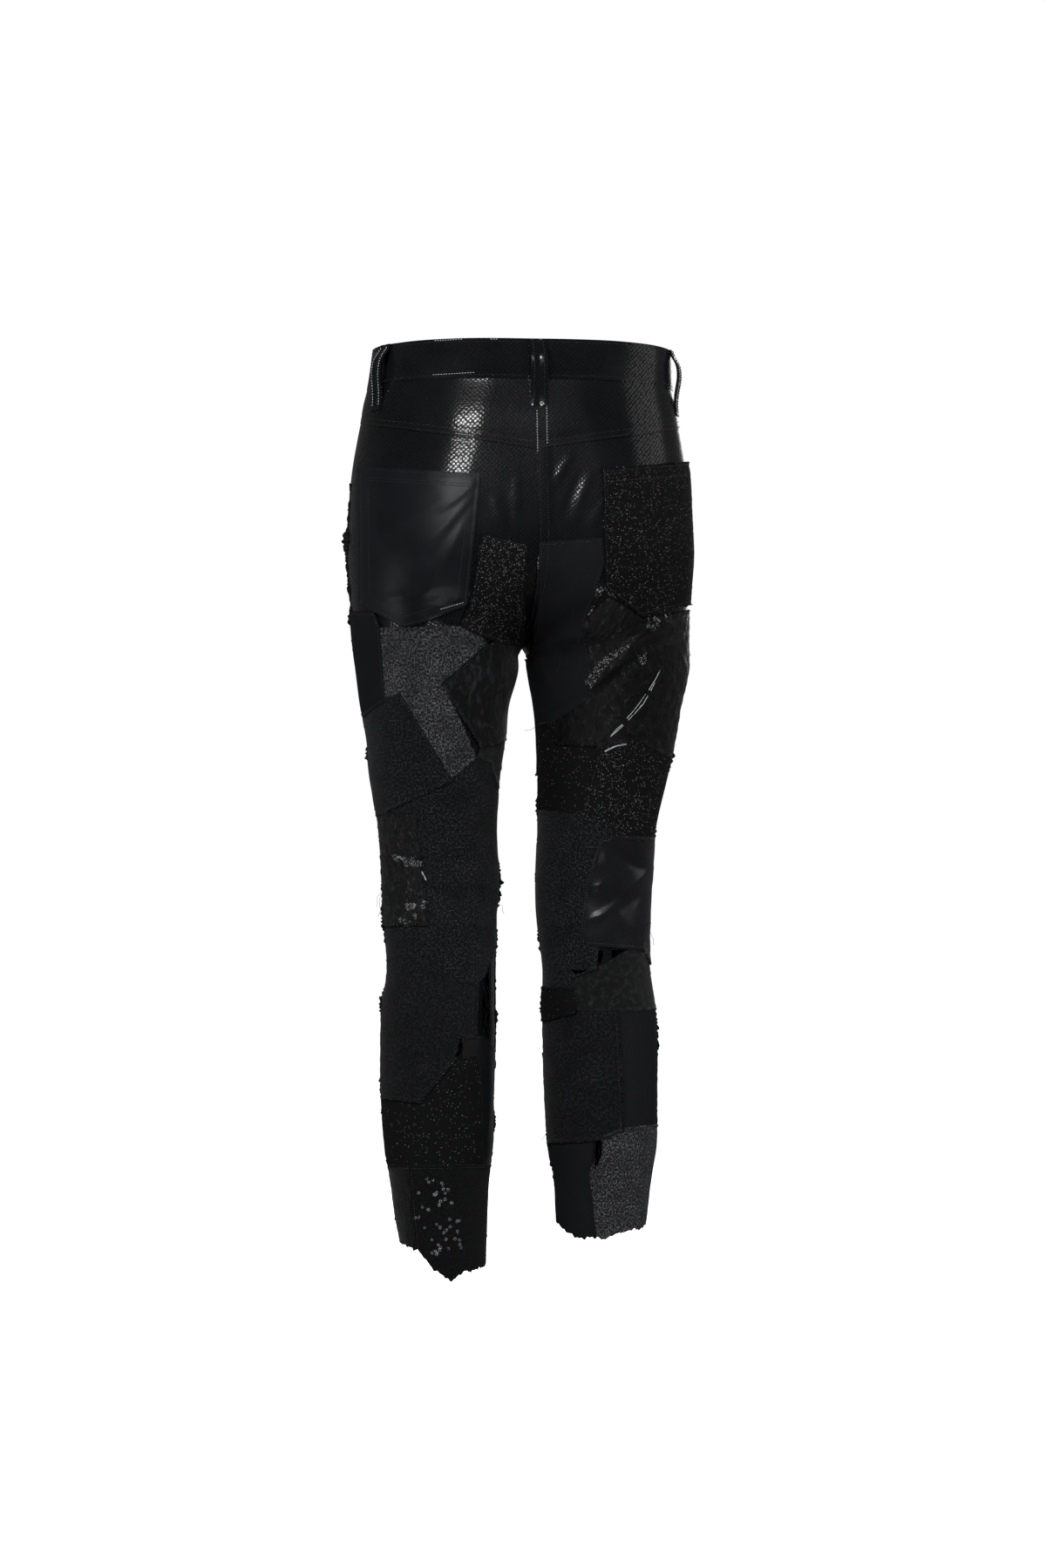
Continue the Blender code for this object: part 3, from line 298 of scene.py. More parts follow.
# Creases on the drawings: two ends in the photograph's pixels, then half width, height and bow in mm
Crease = namedtuple("Crease", "panel start end width height bow")
CREASE_ROWS = [
    ("back_right", [((630, 568), (657, 520), 3.6, 0.78, 1.5), ((657, 606), (680, 538), 2.8, 0.62, 1.5),
        ((676, 608), (698, 568), 2.6, 0.55, 1.0), ((645, 600), (668, 538), 2.8, -0.60, 1.0),
        ((640, 645), (672, 612), 3.5, -1.0, 2.0)]),
    ("back_left", [((592, 545), (592, 598), 2.8, 0.70, 0.5), ((566, 568), (583, 612), 3.0, 0.80, -2.0),
        ((578, 560), (588, 612), 2.6, -0.60, 0.5)]),
    # the fan from the left pocket's upper corner
    ("back_left", [((546, 554), (502, 588), 2.6, 1.0, 1.0), ((544, 566), (468, 640), 3.0, 1.1, 3.0),
        ((536, 582), (482, 690), 3.4, 0.9, 4.0), ((530, 560), (425, 622), 3.4, 0.7, 2.0),
        ((541, 575), (474, 664), 3.0, -0.9, 3.0), ((430, 688), (520, 668), 4.0, 0.9, -3.0),
        ((536, 690), (478, 697), 3.0, -1.2, 2.0)]),
    # inner thighs and the crotch
    ("back_left", [((604, 718), (566, 748), 3.2, -1.4, 2.0), ((600, 748), (560, 772), 3.0, -1.0, 2.0),
        ((541, 768), (546, 828), 2.4, 0.9, 1.0), ((554, 772), (556, 842), 2.4, -1.0, -1.0),
        ((571, 744), (576, 822), 3.0, 1.1, 3.0)]),
    ("back_right", [((620, 705), (652, 760), 4.0, -1.0, -3.0), ((616, 740), (640, 800), 3.5, 1.0, -3.0),
        ((658, 690), (668, 752), 2.2, -1.3, -2.0), ((622, 828), (674, 794), 2.6, -1.2, 1.0),
        ((633, 890), (655, 855), 2.4, 1.0, 2.0)]),
    # the fur patch: two long glossy ridges and a hollow between
    ("back_right", [((674, 790), (730, 736), 4.0, 3.4, -2.0), ((672, 806), (738, 748), 4.0, -2.4, -2.0),
        ((736, 724), (774, 700), 3.4, 2.4, 1.0), ((740, 752), (768, 735), 3.0, 1.1, 1.0),
        ((722, 846), (742, 832), 2.6, 1.2, 0.5)]),
    # knees
    ("back_left", [((503, 972), (549, 1008), 2.8, -1.3, 2.0), ((510, 992), (546, 1024), 3.0, 0.8, 1.0),
        ((560, 930), (520, 1046), 5.0, -0.8, 5.0), ((446, 982), (488, 986), 2.4, 2.3, -1.0),
        ((450, 992), (486, 1000), 2.2, -2.2, 1.5), ((452, 1036), (486, 1040), 2.2, 2.2, 1.0),
        ((456, 944), (482, 962), 2.6, 1.1, -1.0)]),
    ("back_right", [((670, 1058), (712, 1030), 2.6, 2.38, -3.5), ((704, 1044), (750, 992), 3.4, 2.1, 3.0),
        ((712, 1050), (752, 1012), 3.2, -1.68, 2.0), ((676, 1022), (694, 1014), 2.0, 1.68, 0.5),
        ((704, 972), (742, 1000), 4.0, -1.4, -2.0), ((640, 985), (664, 1010), 4.0, -1.12, 1.0)]),
    # calves and hems
    ("back_left", [((452, 1122), (520, 1150), 5.0, 0.8, 3.0), ((560, 1210), (556, 1310), 3.4, 0.9, 2.0),
        ((450, 1300), (470, 1240), 5.0, -0.8, 2.0), ((468, 1440), (476, 1368), 4.0, 0.9, 2.0)]),
    ("back_right", [((700, 1162), (740, 1152), 2.4, -0.8, 1.0), ((640, 1230), (650, 1290), 5.0, 0.7, 2.0),
        ((736, 1200), (730, 1280), 4.0, 0.8, -2.0)]),
    # the front isn't seen: similar creases from the fly, at the groin and behind the knees
    ("front_left", [((540, 680), (468, 620), 3.6, 1.5, 4.0), ((560, 700), (480, 668), 3.2, 1.2, 3.0),
        ((552, 722), (500, 716), 3.6, -1.0, 2.0), ((588, 470), (560, 540), 2.6, 0.8, 2.0),
        ((470, 980), (536, 1000), 3.4, 1.3, 3.0), ((474, 1010), (520, 1032), 3.0, -1.1, 2.0),
        ((480, 1230), (530, 1216), 4.0, 0.8, 2.0)]),
    ("front_right", [((640, 684), (716, 628), 3.6, 1.5, -4.0), ((622, 706), (700, 672), 3.2, 1.2, -3.0),
        ((630, 724), (690, 714), 3.6, -1.0, -2.0), ((604, 470), (636, 536), 2.6, 0.8, -2.0),
        ((656, 990), (716, 972), 3.4, 1.2, -3.0), ((662, 1020), (706, 1002), 3.0, -1.0, -2.0),
        ((660, 1240), (712, 1220), 4.0, 0.8, -2.0)]),
]
CREASES = [Crease(panel, *row) for panel, rows in CREASE_ROWS for row in rows]

# Raw seam edges that stand out as small flaps: panel, share, drops, width in mm
Flap = namedtuple("Flap", "panel share start end width")
FLAPS = [Flap(panel, *row) for panel, rows in (
    ("back_left", [(1, 0.176, 0.196, 5.5), (1, 0.250, 0.268, 4.0), (1, 0.385, 0.400, 3.0),
        (1, 0.505, 0.570, 3.5), (1, 0.618, 0.646, 5.0), (1, 0.700, 0.720, 2.5), (0, 0.495, 0.540, 5.0),
        (0, 0.560, 0.585, 3.0), (0, 0.640, 0.655, 4.0), (0, 0.730, 0.760, 2.5)]),
    ("back_right", [(1, 0.225, 0.300, 3.0), (1, 0.385, 0.412, 5.0), (1, 0.455, 0.480, 2.5),
        (1, 0.640, 0.690, 2.5), (0, 0.436, 0.456, 5.0), (0, 0.555, 0.585, 3.0), (0, 0.622, 0.648, 4.5),
        (0, 0.756, 0.772, 4.0)]),
) for row in rows]

# Loose threads, in the photograph's pixels: panel, where they leave the cloth, where they end, mm outwards
LOOSE_THREADS = [(panel, *row) for panel, rows in (
    ("back_left", [((396, 622), (391, 650), 1), ((442, 1004), (433, 1040), 1),
        ((441, 1020), (436, 1052), 2), ((571, 1032), (577, 1048), 1), ((500, 1450), (508, 1470), 1),
        ((520, 1452), (530, 1467), 1), ((482, 1428), (478, 1446), 2), ((556, 1372), (568, 1380), 1),
        ((476, 1424), (484, 1440), 2), ((420, 864), (411, 872), 1)]),
    ("back_right", [((654, 682), (664, 738), 2), ((646, 748), (640, 770), 1), ((784, 735), (792, 752), 1),
        ((768, 880), (776, 893), 1), ((744, 1062), (749, 1084), 1), ((622, 832), (604, 838), 2),
        ((628, 1196), (621, 1203), 1), ((632, 1294), (622, 1308), 1), ((640, 1396), (636, 1412), 1),
        ((700, 1088), (704, 1108), 1)]),
) for row in rows]
# Stretches of topstitching in pale thread, a painted glint where they catch the light, in the photograph's
# pixels
PAINTED_GLINT_STITCHES = [
    ("back_left", (498, 391), (534, 389)), ("back_left", (562, 389), (575, 389)),
    ("back_left", (496, 430), (549, 427)), ("back_left", (522, 497), (546, 500)),
    ("back_left", (518, 504), (548, 509)), ("back_right", (616, 470), (617, 520)),
    ("back_right", (627, 452), (628, 512)), ("back_left", (505, 699), (536, 690)),
]
# Painted highlights as pale cords: on the rolled edges of the piping and two more short ones, in the
# photograph's pixels
PIPING_PAINTED_HIGHLIGHTS = [
    ((757, 769), (752, 779), (747, 787), (743, 794)), ((741, 796), (735, 804.5), (728, 814), (717.5, 826)),
    ((714, 831), (708, 836), (700, 845)), ((751, 783), (745, 795)),
    ((743, 798), (738, 807), (728, 818.5), (719, 828)), ((715, 832), (707, 839.5), (698, 846.5)),
]
PAINTED_HIGHLIGHT_BITS = [
    ("back_right", ((694, 862), (706, 856), (721, 853))), ("back_left", ((484, 1000), (490, 1012))),
]
# Where pile lies flat and shines, painted as pale hairs (a painted highlight), in the photograph's pixels:
# panel, outline, hairs
HIGHLIGHT_PAINTED_TUFTS = [
    ("back_right", [(671, 783), (684, 762), (702, 748), (724, 738), (722, 743), (702, 757), (688, 777),
                    (678, 791)], 300),
    ("back_right", [(741, 714), (751, 706), (758, 712), (752, 725), (743, 722)], 70),
    ("back_right", [(762, 708), (771, 703), (770, 713), (763, 714)], 26),
    ("back_right", [(732, 752), (742, 749), (741, 762), (734, 762)], 40),
    ("back_left", [(449, 980), (457, 979), (464, 984), (461, 990), (452, 986)], 60),
    ("back_left", [(461, 984), (483, 988), (484, 994), (464, 994)], 150),
    ("back_left", [(465, 1036), (478, 1036), (476, 1043), (466, 1044)], 85),
    ("back_left", [(473, 1048), (478, 1048), (478, 1055), (474, 1054)], 26),
    ("back_left", [(483, 1033), (488, 1033), (487, 1043), (483, 1042)], 30),
    ("back_left", [(456, 1052), (472, 1055), (470, 1060), (456, 1057)], 34),
]
# How many yarn curls and foil flecks each patch has
CURLS = [("pocket_right", 3200), ("patch_left_calf_boucle", 1500), ("patch_right_calf_boucle", 1500)]
FLAKES = [
    ("patch_left_inner_glitter", 520), ("patch_right_knee_glitter", 800), ("patch_right_inner_glitter", 120),
    ("pocket_right", 300), ("patch_left_calf_lurex", 260), ("patch_right_calf_lurex", 30),
    ("patch_front_right_thigh_glitter", 420),
]
SEQUIN_AREA = [(482, 1352), (512, 1350), (528, 1392), (530, 1436), (490, 1442), (474, 1400)]


# ---- cloths ----

def srgb(hexadecimal):
    """Linear colour from an sRGB hex value."""
    parts = [int(hexadecimal[start:start + 2], 16) / 255 for start in (0, 2, 4)]
    return [((part + 0.055) / 1.055) ** 2.4 if part > 0.04045 else part / 12.92 for part in parts] + [1.0]


def add_node(tree, kind, inputs=None, **settings):
    """Adds a node: its own settings, and its sockets' values or links."""
    made = tree.nodes.new(kind)
    for key, value in settings.items():
        setattr(made, key, value)
    for socket, value in (inputs or {}).items():
        if isinstance(value, bpy.types.NodeSocket):
            tree.links.new(value, made.inputs[socket])
        else:
            made.inputs[socket].default_value = value
    return made


def start_material(name, colour, **sockets):
    """A principled material: its tree and shader, and places on the flat cloth in metres."""
    material = bpy.data.materials.new(name)
    material.use_nodes = True
    tree = material.node_tree
    shader = tree.nodes["Principled BSDF"]
    shader.inputs["Base Color"].default_value = srgb(colour)
    for socket, value in sockets.items():
        shader.inputs[socket.replace("_", " ")].default_value = value
    flat = add_node(tree, "ShaderNodeUVMap", uv_map="cloth").outputs["UV"]
    return material, tree, shader, flat


def blend(tree, factor, first, second):
    """Two colours mixed by a factor."""
    mixed = add_node(tree, "ShaderNodeMix", {"Factor": factor, "A": first, "B": second}, data_type="RGBA")
    return mixed.outputs["Result"]


def spread(tree, value, low, high, to_low, to_high):
    """A value's stretch from low to high, brought to another."""
    return add_node(tree, "ShaderNodeMapRange", {"Value": value, "From Min": low, "From Max": high,
                                                 "To Min": to_low, "To Max": to_high}).outputs["Result"]


def stretched(tree, flat, across, down, turn=0.0):
    """Flat-cloth places scaled across and down, after a turn in degrees."""
    return add_node(tree, "ShaderNodeMapping", {"Vector": flat, "Scale": (across, down, 1.0),
                                                "Rotation": (0.0, 0.0, math.radians(turn))}).outputs["Vector"]


def product(tree, first, second):
    """Two values multiplied."""
    return add_node(tree, "ShaderNodeMath", {0: first, 1: second}, operation="MULTIPLY").outputs["Value"]


def raise_surface(tree, shader, height, distance, strength=1.0, under=None):
    """Bump of the given depth in metres."""
    inputs = {"Height": height, "Distance": distance, "Strength": strength}
    if under:
        inputs["Normal"] = under
    bump = add_node(tree, "ShaderNodeBump", inputs).outputs["Normal"]
    tree.links.new(bump, shader.inputs["Normal"])
    return bump


def coated_cloth(name, colour, worn, grain, roughness, depth, dull=0.0):
    """Cloth with a pressed polyurethane skin: a pebbled grain and a soft wet gloss, duller where worn."""
    material, tree, shader, flat = start_material(name, colour, Roughness=roughness, Specular_IOR_Level=0.5)
    places = stretched(tree, flat, 1 / grain, 1 / grain, 40.0)
    cells = add_node(tree, "ShaderNodeTexVoronoi", {"Vector": places, "Scale": 1.0, "Randomness": 0.30})
    wear = add_node(tree, "ShaderNodeTexNoise", {"Vector": flat, "Scale": 22.0, "Detail": 4.0})
    fine = add_node(tree, "ShaderNodeTexNoise", {"Vector": flat, "Scale": 1500.0, "Detail": 2.0})
    # the pebbles' tops are glossy and the ground between them is dull
    tops = spread(tree, cells.outputs["Distance"], 0.30, 0.52, 1.0, 0.0)
    tree.links.new(spread(tree, tops, 0.0, 1.0, 0.5 - 0.4 * dull, 0.5), shader.inputs["Specular IOR Level"])
    rubbed = spread(tree, wear.outputs["Fac"], 0.30, 0.70, roughness - 0.04, roughness + 0.08)
    tree.links.new(spread(tree, tops, 0.0, 1.0, roughness + 0.25 * dull, rubbed), shader.inputs["Roughness"])
    paler = spread(tree, wear.outputs["Fac"], 0.35, 0.75, 0.0, 1.0)
    tree.links.new(blend(tree, paler, srgb(colour), srgb(worn)), shader.inputs["Base Color"])
    first = raise_surface(tree, shader, cells.outputs["Distance"], depth)
    raise_surface(tree, shader, fine.outputs["Fac"], 0.00004, 0.6, first)
    return material


def fleeced_cloth(name, dark, light, fleck, share, roughness, depth, sheen=0.0, down=1.0):
    """Woollen, knitted or looped yarn: dark and light fibres in flecks, matt, with a soft bloom."""
    material, tree, shader, flat = start_material(
        name, dark, Roughness=roughness, Specular_IOR_Level=0.25, Sheen_Weight=sheen, Sheen_Roughness=0.5)
    places = stretched(tree, flat, 1 / fleck, down / fleck)
    flecks = add_node(tree, "ShaderNodeTexNoise",
                      {"Vector": places, "Scale": 1.0, "Detail": 3.0, "Roughness": 0.65})
    clouds = add_node(tree, "ShaderNodeTexNoise", {"Vector": flat, "Scale": 45.0, "Detail": 3.0})
    amount = product(tree, spread(tree, flecks.outputs["Fac"], 0.62 - share, 0.80 - share, 0.0, 1.0),
                     spread(tree, clouds.outputs["Fac"], 0.3, 0.7, 0.40, 1.0))
    # the light flecks are also the raised places; on boucle the dark between them is painted shade
    tree.links.new(blend(tree, amount, srgb(dark), srgb(light)), shader.inputs["Base Color"])
    raise_surface(tree, shader, flecks.outputs["Fac"], depth)
    return material


def ribbed_cloth(name, colour, light, pitch, turn, roughness, depth, gloss=0.3):
    """Woven or knitted ribs at a slope: diagonal twill lines or upright knit wales."""
    material, tree, shader, flat = start_material(name, colour, Roughness=roughness, Specular_IOR_Level=gloss)
    ribs = add_node(tree, "ShaderNodeTexWave", {"Vector": stretched(tree, flat, 1.0, 1.0, turn),
                                                "Scale": 1 / pitch / math.tau * math.pi, "Distortion": 0.6,
                                                "Detail": 1.0, "Detail Scale": 3.0})
    lint = add_node(tree, "ShaderNodeTexNoise", {"Vector": flat, "Scale": 700.0, "Detail": 3.0})
    clouds = add_node(tree, "ShaderNodeTexNoise", {"Vector": flat, "Scale": 30.0, "Detail": 3.0})
    amount = product(tree, spread(tree, lint.outputs["Fac"], 0.40, 0.75, 0.0, 0.8),
                     spread(tree, clouds.outputs["Fac"], 0.3, 0.7, 0.3, 1.0))
    tree.links.new(blend(tree, amount, srgb(colour), srgb(light)), shader.inputs["Base Color"])
    first = raise_surface(tree, shader, ribs.outputs["Fac"], depth)
    raise_surface(tree, shader, lint.outputs["Fac"], 0.0001, 0.7, first)
    return material


def pile_cloth(name, dark, light, patch, roughness, gloss, depth, sheen):
    """Velvet or fur: the pile lies one way or the other; where it lies flat it is smoother and its colour
    paler, a painted sheen, so that it turns from deep black to a gleam.
    """
    material, tree, shader, flat = start_material(
        name, dark, Roughness=roughness, Specular_IOR_Level=gloss, Sheen_Weight=sheen, Sheen_Roughness=0.35)
    places = stretched(tree, flat, 1.0 / patch, 0.6 / patch, 12.0)
    lie = add_node(tree, "ShaderNodeTexNoise", {"Vector": places, "Scale": 1.0, "Detail": 4.0,
                                                "Roughness": 0.6, "Distortion": 1.2})
    nap = add_node(tree, "ShaderNodeTexNoise", {"Vector": flat, "Scale": 900.0, "Detail": 2.0})
    tree.links.new(spread(tree, lie.outputs["Fac"], 0.42, 0.68, roughness + 0.08, roughness - 0.30),
                   shader.inputs["Roughness"])
    # the colour is paler where the pile lies flat: a painted sheen
    lit = spread(tree, lie.outputs["Fac"], 0.50, 0.72, 0.0, 1.0)
    tree.links.new(blend(tree, lit, srgb(dark), srgb(light)), shader.inputs["Base Color"])
    first = raise_surface(tree, shader, lie.outputs["Fac"], depth)
    raise_surface(tree, shader, nap.outputs["Fac"], 0.00012, 0.8, first)
    return material


def glittering_cloth(name, ground, painted_glint_colour, pitch, share, roughness):
    """Knit with bright foil threads: most of the ground is matt, and single points are painted bright, a
    painted glint, and are metallic, smoother and tipped.
    """
    material, tree, shader, flat = start_material(name, ground, Roughness=roughness, Specular_IOR_Level=0.35)
    points = add_node(tree, "ShaderNodeTexVoronoi", {"Vector": flat, "Scale": 1 / pitch, "Randomness": 1.0})
    chosen = add_node(tree, "ShaderNodeSeparateColor", {"Color": points.outputs["Color"]})
    near = spread(tree, points.outputs["Distance"], 0.18, 0.34, 1.0, 0.0)
    bright = spread(tree, chosen.outputs["Red"], 1.0 - share, 1.0, 0.0, 1.0)
    # the chosen points get a pale colour: a painted glint
    painted_glint_points = product(tree, near, bright)
    tree.links.new(blend(tree, painted_glint_points, srgb(ground), srgb(painted_glint_colour)), shader.inputs["Base Color"])
    tree.links.new(spread(tree, painted_glint_points, 0.0, 1.0, roughness, 0.30), shader.inputs["Roughness"])
    tree.links.new(spread(tree, painted_glint_points, 0.0, 1.0, 0.0, 0.5), shader.inputs["Metallic"])
    # every foil point is tipped its own way, so that only some of them flash
    tipped = add_node(tree, "ShaderNodeVectorMath", {0: points.outputs["Color"], 1: (0.5, 0.5, 0.5)},
                      operation="SUBTRACT")
    tilt = add_node(tree, "ShaderNodeVectorMath", {0: tipped.outputs[0], "Scale": 1.5}, operation="SCALE")
    yarn = add_node(tree, "ShaderNodeTexNoise", {"Vector": flat, "Scale": 620.0, "Detail": 3.0})
    bumped = raise_surface(tree, shader, yarn.outputs["Fac"], 0.0004)
    turned = add_node(tree, "ShaderNodeVectorMath", {0: bumped, 1: tilt.outputs[0]}, operation="ADD")
    facing = add_node(tree, "ShaderNodeMix", {"Factor": painted_glint_points, "A": bumped, "B": turned.outputs[0]},
                      data_type="VECTOR")
    tree.links.new(facing.outputs["Result"], shader.inputs["Normal"])
    return material


def make_materials():
    """One material for each real cloth, and for thread, fibres, sequins, foil, metal and the floor."""
    made = {
        # polyurethane-coated cloth pressed with a small reptile grain: rows of glossy dots. The real grain
        # is 2 mm and would be finer than a pixel, so it is drawn at 3.1 mm
        "seat_coated": coated_cloth(
            "coated_cloth_reptile_grain", "0d0e10", "141517", 0.0031, 0.08, 0.00009, 1.0),
        # the waistband is the same cloth in a paler copy: painted light, for the light that the screen keeps
        # off it
        "waist_coated": coated_cloth(
            "coated_cloth_waistband", "131417", "1d1e21", 0.0031, 0.10, 0.00009, 1.0),
        # coated denim, nearly smooth: long soft navy reflections
        "coated_navy": coated_cloth("coated_denim_navy", "0b0d11", "13171c", 0.0010, 0.36, 0.00005, 0.45),
        # coated cloth with a fine leather grain: broad wet highlights on its folds
        "coated": coated_cloth("coated_cloth_fine_grain", "111215", "1b1c20", 0.0012, 0.22, 0.00006, 0.3),
        # cotton twill: matt, faint diagonals
        "twill": ribbed_cloth("cotton_twill", "18191c", "232428", 0.0017, 40.0, 0.85, 0.00016, 0.2),
        # smooth acetate satin: soft streaks of gloss
        "satin": ribbed_cloth("acetate_satin", "111214", "1c1d20", 0.0022, 8.0, 0.34, 0.00005, 0.55),
        # ribbed jersey: upright wales
        "knit": ribbed_cloth("ribbed_jersey", "1b1c1e", "292a2d", 0.0036, 0.0, 0.90, 0.00060, 0.2),
        # grey melange sweatshirt jersey: light fibres among black ones
        "melange": fleeced_cloth(
            "melange_jersey", "17181a", "7c7d82", 0.0015, 0.15, 0.95, 0.00030, 0.06, down=0.7),
        # woollen suiting: faint grey fibres
        "wool": fleeced_cloth("brushed_wool", "0b0c0e", "3c3e42", 0.0019, 0.145, 0.95, 0.00045, 0.05),
        # felted wool: longer fibres, a dusty bloom
        "fuzzy_wool": fleeced_cloth("felted_wool", "121314", "313235", 0.0024, 0.12, 1.0, 0.00050, 0.10),
        # boucle: small yarn loops, the colour darker where the bump is low: painted shade between the loops
        "boucle": fleeced_cloth("boucle_yarn", "0c0d0e", "2b2c30", 0.0022, 0.17, 0.95, 0.00080, 0.05),
        # pale flecked tweed
        "tweed": fleeced_cloth("flecked_tweed", "1d1e1f", "77787a", 0.0019, 0.15, 1.0, 0.00050, 0.05),
        # suede cloth: short nap with paler rubbed places
        "suede": fleeced_cloth("suede_cloth", "131415", "2b2c2d", 0.0060, 0.14, 0.95, 0.00040, 0.10),
        # boucle knitted with fine foil thread: a close field of small painted glints, drawn at twice their
        # real size
        "boucle_sparkle": glittering_cloth("boucle_with_foil_thread", "060707", "c6c8cc", 0.0011, 0.14, 0.90),
        # jersey with scattered foil points, painted bright as glints
        "glitter": glittering_cloth("glitter_jersey", "0a0b0c", "f0f1f4", 0.0010, 0.085, 0.85),
        "dark_glitter": glittering_cloth("dark_glitter_jersey", "0a0b0c", "d0d2d6", 0.0012, 0.05, 0.85),
        # lurex boucle: duller and sparser painted glints
        "lurex": glittering_cloth("lurex_boucle", "0b0c0d", "b8babe", 0.0012, 0.06, 0.88),
        # black jersey behind the ring sequins
        "sequin": fleeced_cloth(
            "sequin_ground_jersey", "0b0c0d", "202124", 0.0020, 0.14, 0.95, 0.00050, 0.05),
        # velvet: deepest black, with paler lines of pile, a painted sheen
        "velvet": pile_cloth("cotton_velvet", "0c0d0e", "2f3034", 0.008, 0.80, 0.35, 0.00070, 0.20),
        # crushed velvet: flattened pile that shines in patches, with a painted sheen in its paler colour
        # there
        "crushed_velvet": pile_cloth("crushed_velvet", "060708", "17191b", 0.006, 0.40, 0.40, 0.00300, 0.02),
        # sheared fur cloth: soft dark tufts, some lying flat and glossy, with a painted sheen in their paler
        # colour
        "fur": pile_cloth("sheared_fur_cloth", "080909", "181919", 0.0075, 0.48, 0.35, 0.00250, 0.03),
    }
    # glossy binding tape; the two bright lines where it rolls over are pale cords laid on it, painted
    # highlights
    made["glossy_tape"] = coated_cloth("glossy_binding_tape", "0c0d0f", "131416", 0.0020, 0.10, 0.00002)
    for key, name, colour, roughness, specular, metallic in (
            # single glossy hairs of the fur cloth, and pale hairs where it lies flat: a painted highlight
            ("fur_fibre", "fur_fibre", "0e0f10", 0.36, 0.45, 0.0),
            ("shiny_hair", "shiny_hair", "b4b6ba", 0.40, 1.0, 0.0),
            # spun polyester thread: a small highlight on every stitch; where the stitches catch the light a
            # pale thread paints the glint
            ("thread", "polyester_thread", "26272a", 0.30, 0.8, 0.0),
            ("glossy_thread", "glossy_thread", "d8dade", 0.22, 1.0, 0.0),
            # pale cords on the binding's rolled edges and two more short ones: painted highlights
            ("highlight_painted_cord", "rolled_binding_edge", "c4c6ca", 0.20, 1.0, 0.0),
            # single cotton and wool fibres
            ("fibre", "loose_fibre", "1a1b1d", 0.60, 0.35, 0.0),
            # matt loops of the boucle cloths, and short pale loops among them: painted glints
            ("curl_fibre", "curl_fibre", "0b0c0d", 0.75, 0.25, 0.0),
            ("shiny_curl", "shiny_curl", "a0a2a6", 0.35, 0.8, 0.0),
            # ring sequins punched from glossy black film
            ("sequin_film", "sequin_film", "8a8c90", 0.18, 1.0, 0.7),
            # cut foil: mirror-bright flecks, partly metallic; the pale colour of their matt part is a painted
            # glint
            ("foil", "cut_foil", "d4d6da", 0.30, 0.5, 0.6),
            # dark nickel-plated button, lightly brushed
            ("button_metal", "dark_nickel_plate", "3b3c40", 0.30, 0.5, 1.0)):
        made[key] = start_material(
            name, colour, Roughness=roughness, Specular_IOR_Level=specular, Metallic=metallic)[0]
    # seamless white floor that glows, so that no shadow or edge shows
    made["floor"], glow = start_material("pale_studio_floor", "f6f6f5", Roughness=0.9)[::2]
    glow.inputs["Emission Color"].default_value = srgb("ffffff")
    glow.inputs["Emission Strength"].default_value = 1.0
    return made


# ---- the surface that the cloth lies on ----

DROP_STEP = 0.0025
DROPS = np.arange(0.0, 0.9301, DROP_STEP)
SHARES = np.linspace(0.0, 1.0, 161)
Chart = namedtuple("Chart", "panel bare normals heights girths seen")


def sections_at(drops):
    """Sections at many drops, on smooth curves through the rows of SECTIONS."""
    table = np.array(SECTIONS)
    knots = table[:, 0]
    last = len(knots) - 1
    row = np.clip(np.searchsorted(knots, drops, side="right") - 1, 0, last - 1)
    before, after = np.maximum(row - 1, 0), np.minimum(row + 2, last)
    length = (knots[row + 1] - knots[row])[:, None]
    part = (drops[:, None] - knots[row][:, None]) / length
    start_slope = (table[row + 1] - table[before]) / (knots[row + 1] - knots[before])[:, None] * length
    end_slope = (table[after] - table[row]) / (knots[after] - knots[row])[:, None] * length
    return ((2 * part ** 3 - 3 * part ** 2 + 1) * table[row]
            + (part ** 3 - 2 * part ** 2 + part) * start_slope
            + (3 * part ** 2 - 2 * part ** 3) * table[row + 1] + (part ** 3 - part ** 2) * end_slope)


def side_of(panel):
    """1 on the wearer's left, -1 on the right."""
    return 1 if panel.endswith("left") else -1


def face_of(panel):
    """Whether a panel is of the back or the front."""
    return panel.split("_")[0]


def view_point(panel):
    """Where the panel's elevation drawing is seen from: the photograph's own place for the back."""
    if panel.startswith("front"):
        return Vector((0.0, -VIEW_DISTANCE, -VIEW_DROP))
    away = Vector((math.sin(VIEW_TURN), math.cos(VIEW_TURN), 0.0))
    return away * VIEW_DISTANCE + Vector((0, 0, -VIEW_DROP))


def to_drawing(points, panel):
    """Distance to the wearer's left and drop, on the upright drawing through the origin."""
    eye = np.array(view_point(panel))
    forward = np.array((-eye[0], -eye[1], 0.0)) / math.hypot(eye[0], eye[1])
    rays = points - eye
    met = eye + rays * (-(eye @ forward) / (rays @ forward))[..., None]
    left = np.array((abs(forward[1]), -forward[0] * math.copysign(1.0, forward[1]), 0.0))
    return np.stack([met @ left, -met[..., 2]], axis=-1)


def drawing_point(corner, panel):
    """The place of a drawing's corner in space."""
    eye = view_point(panel)
    forward = Vector((-eye.x, -eye.y, 0.0)).normalized()
    to_the_left = Vector((abs(forward.y), -forward.x * math.copysign(1.0, forward.y), 0.0))
    return to_the_left * corner[0] + Vector((0.0, 0.0, -corner[1]))


def pixel(column, row):
    """A place on the drawing from the photograph's column and row."""
    return ((ORIGIN_COLUMN - column) * PIXEL, (row - ORIGIN_ROW) * PIXEL)


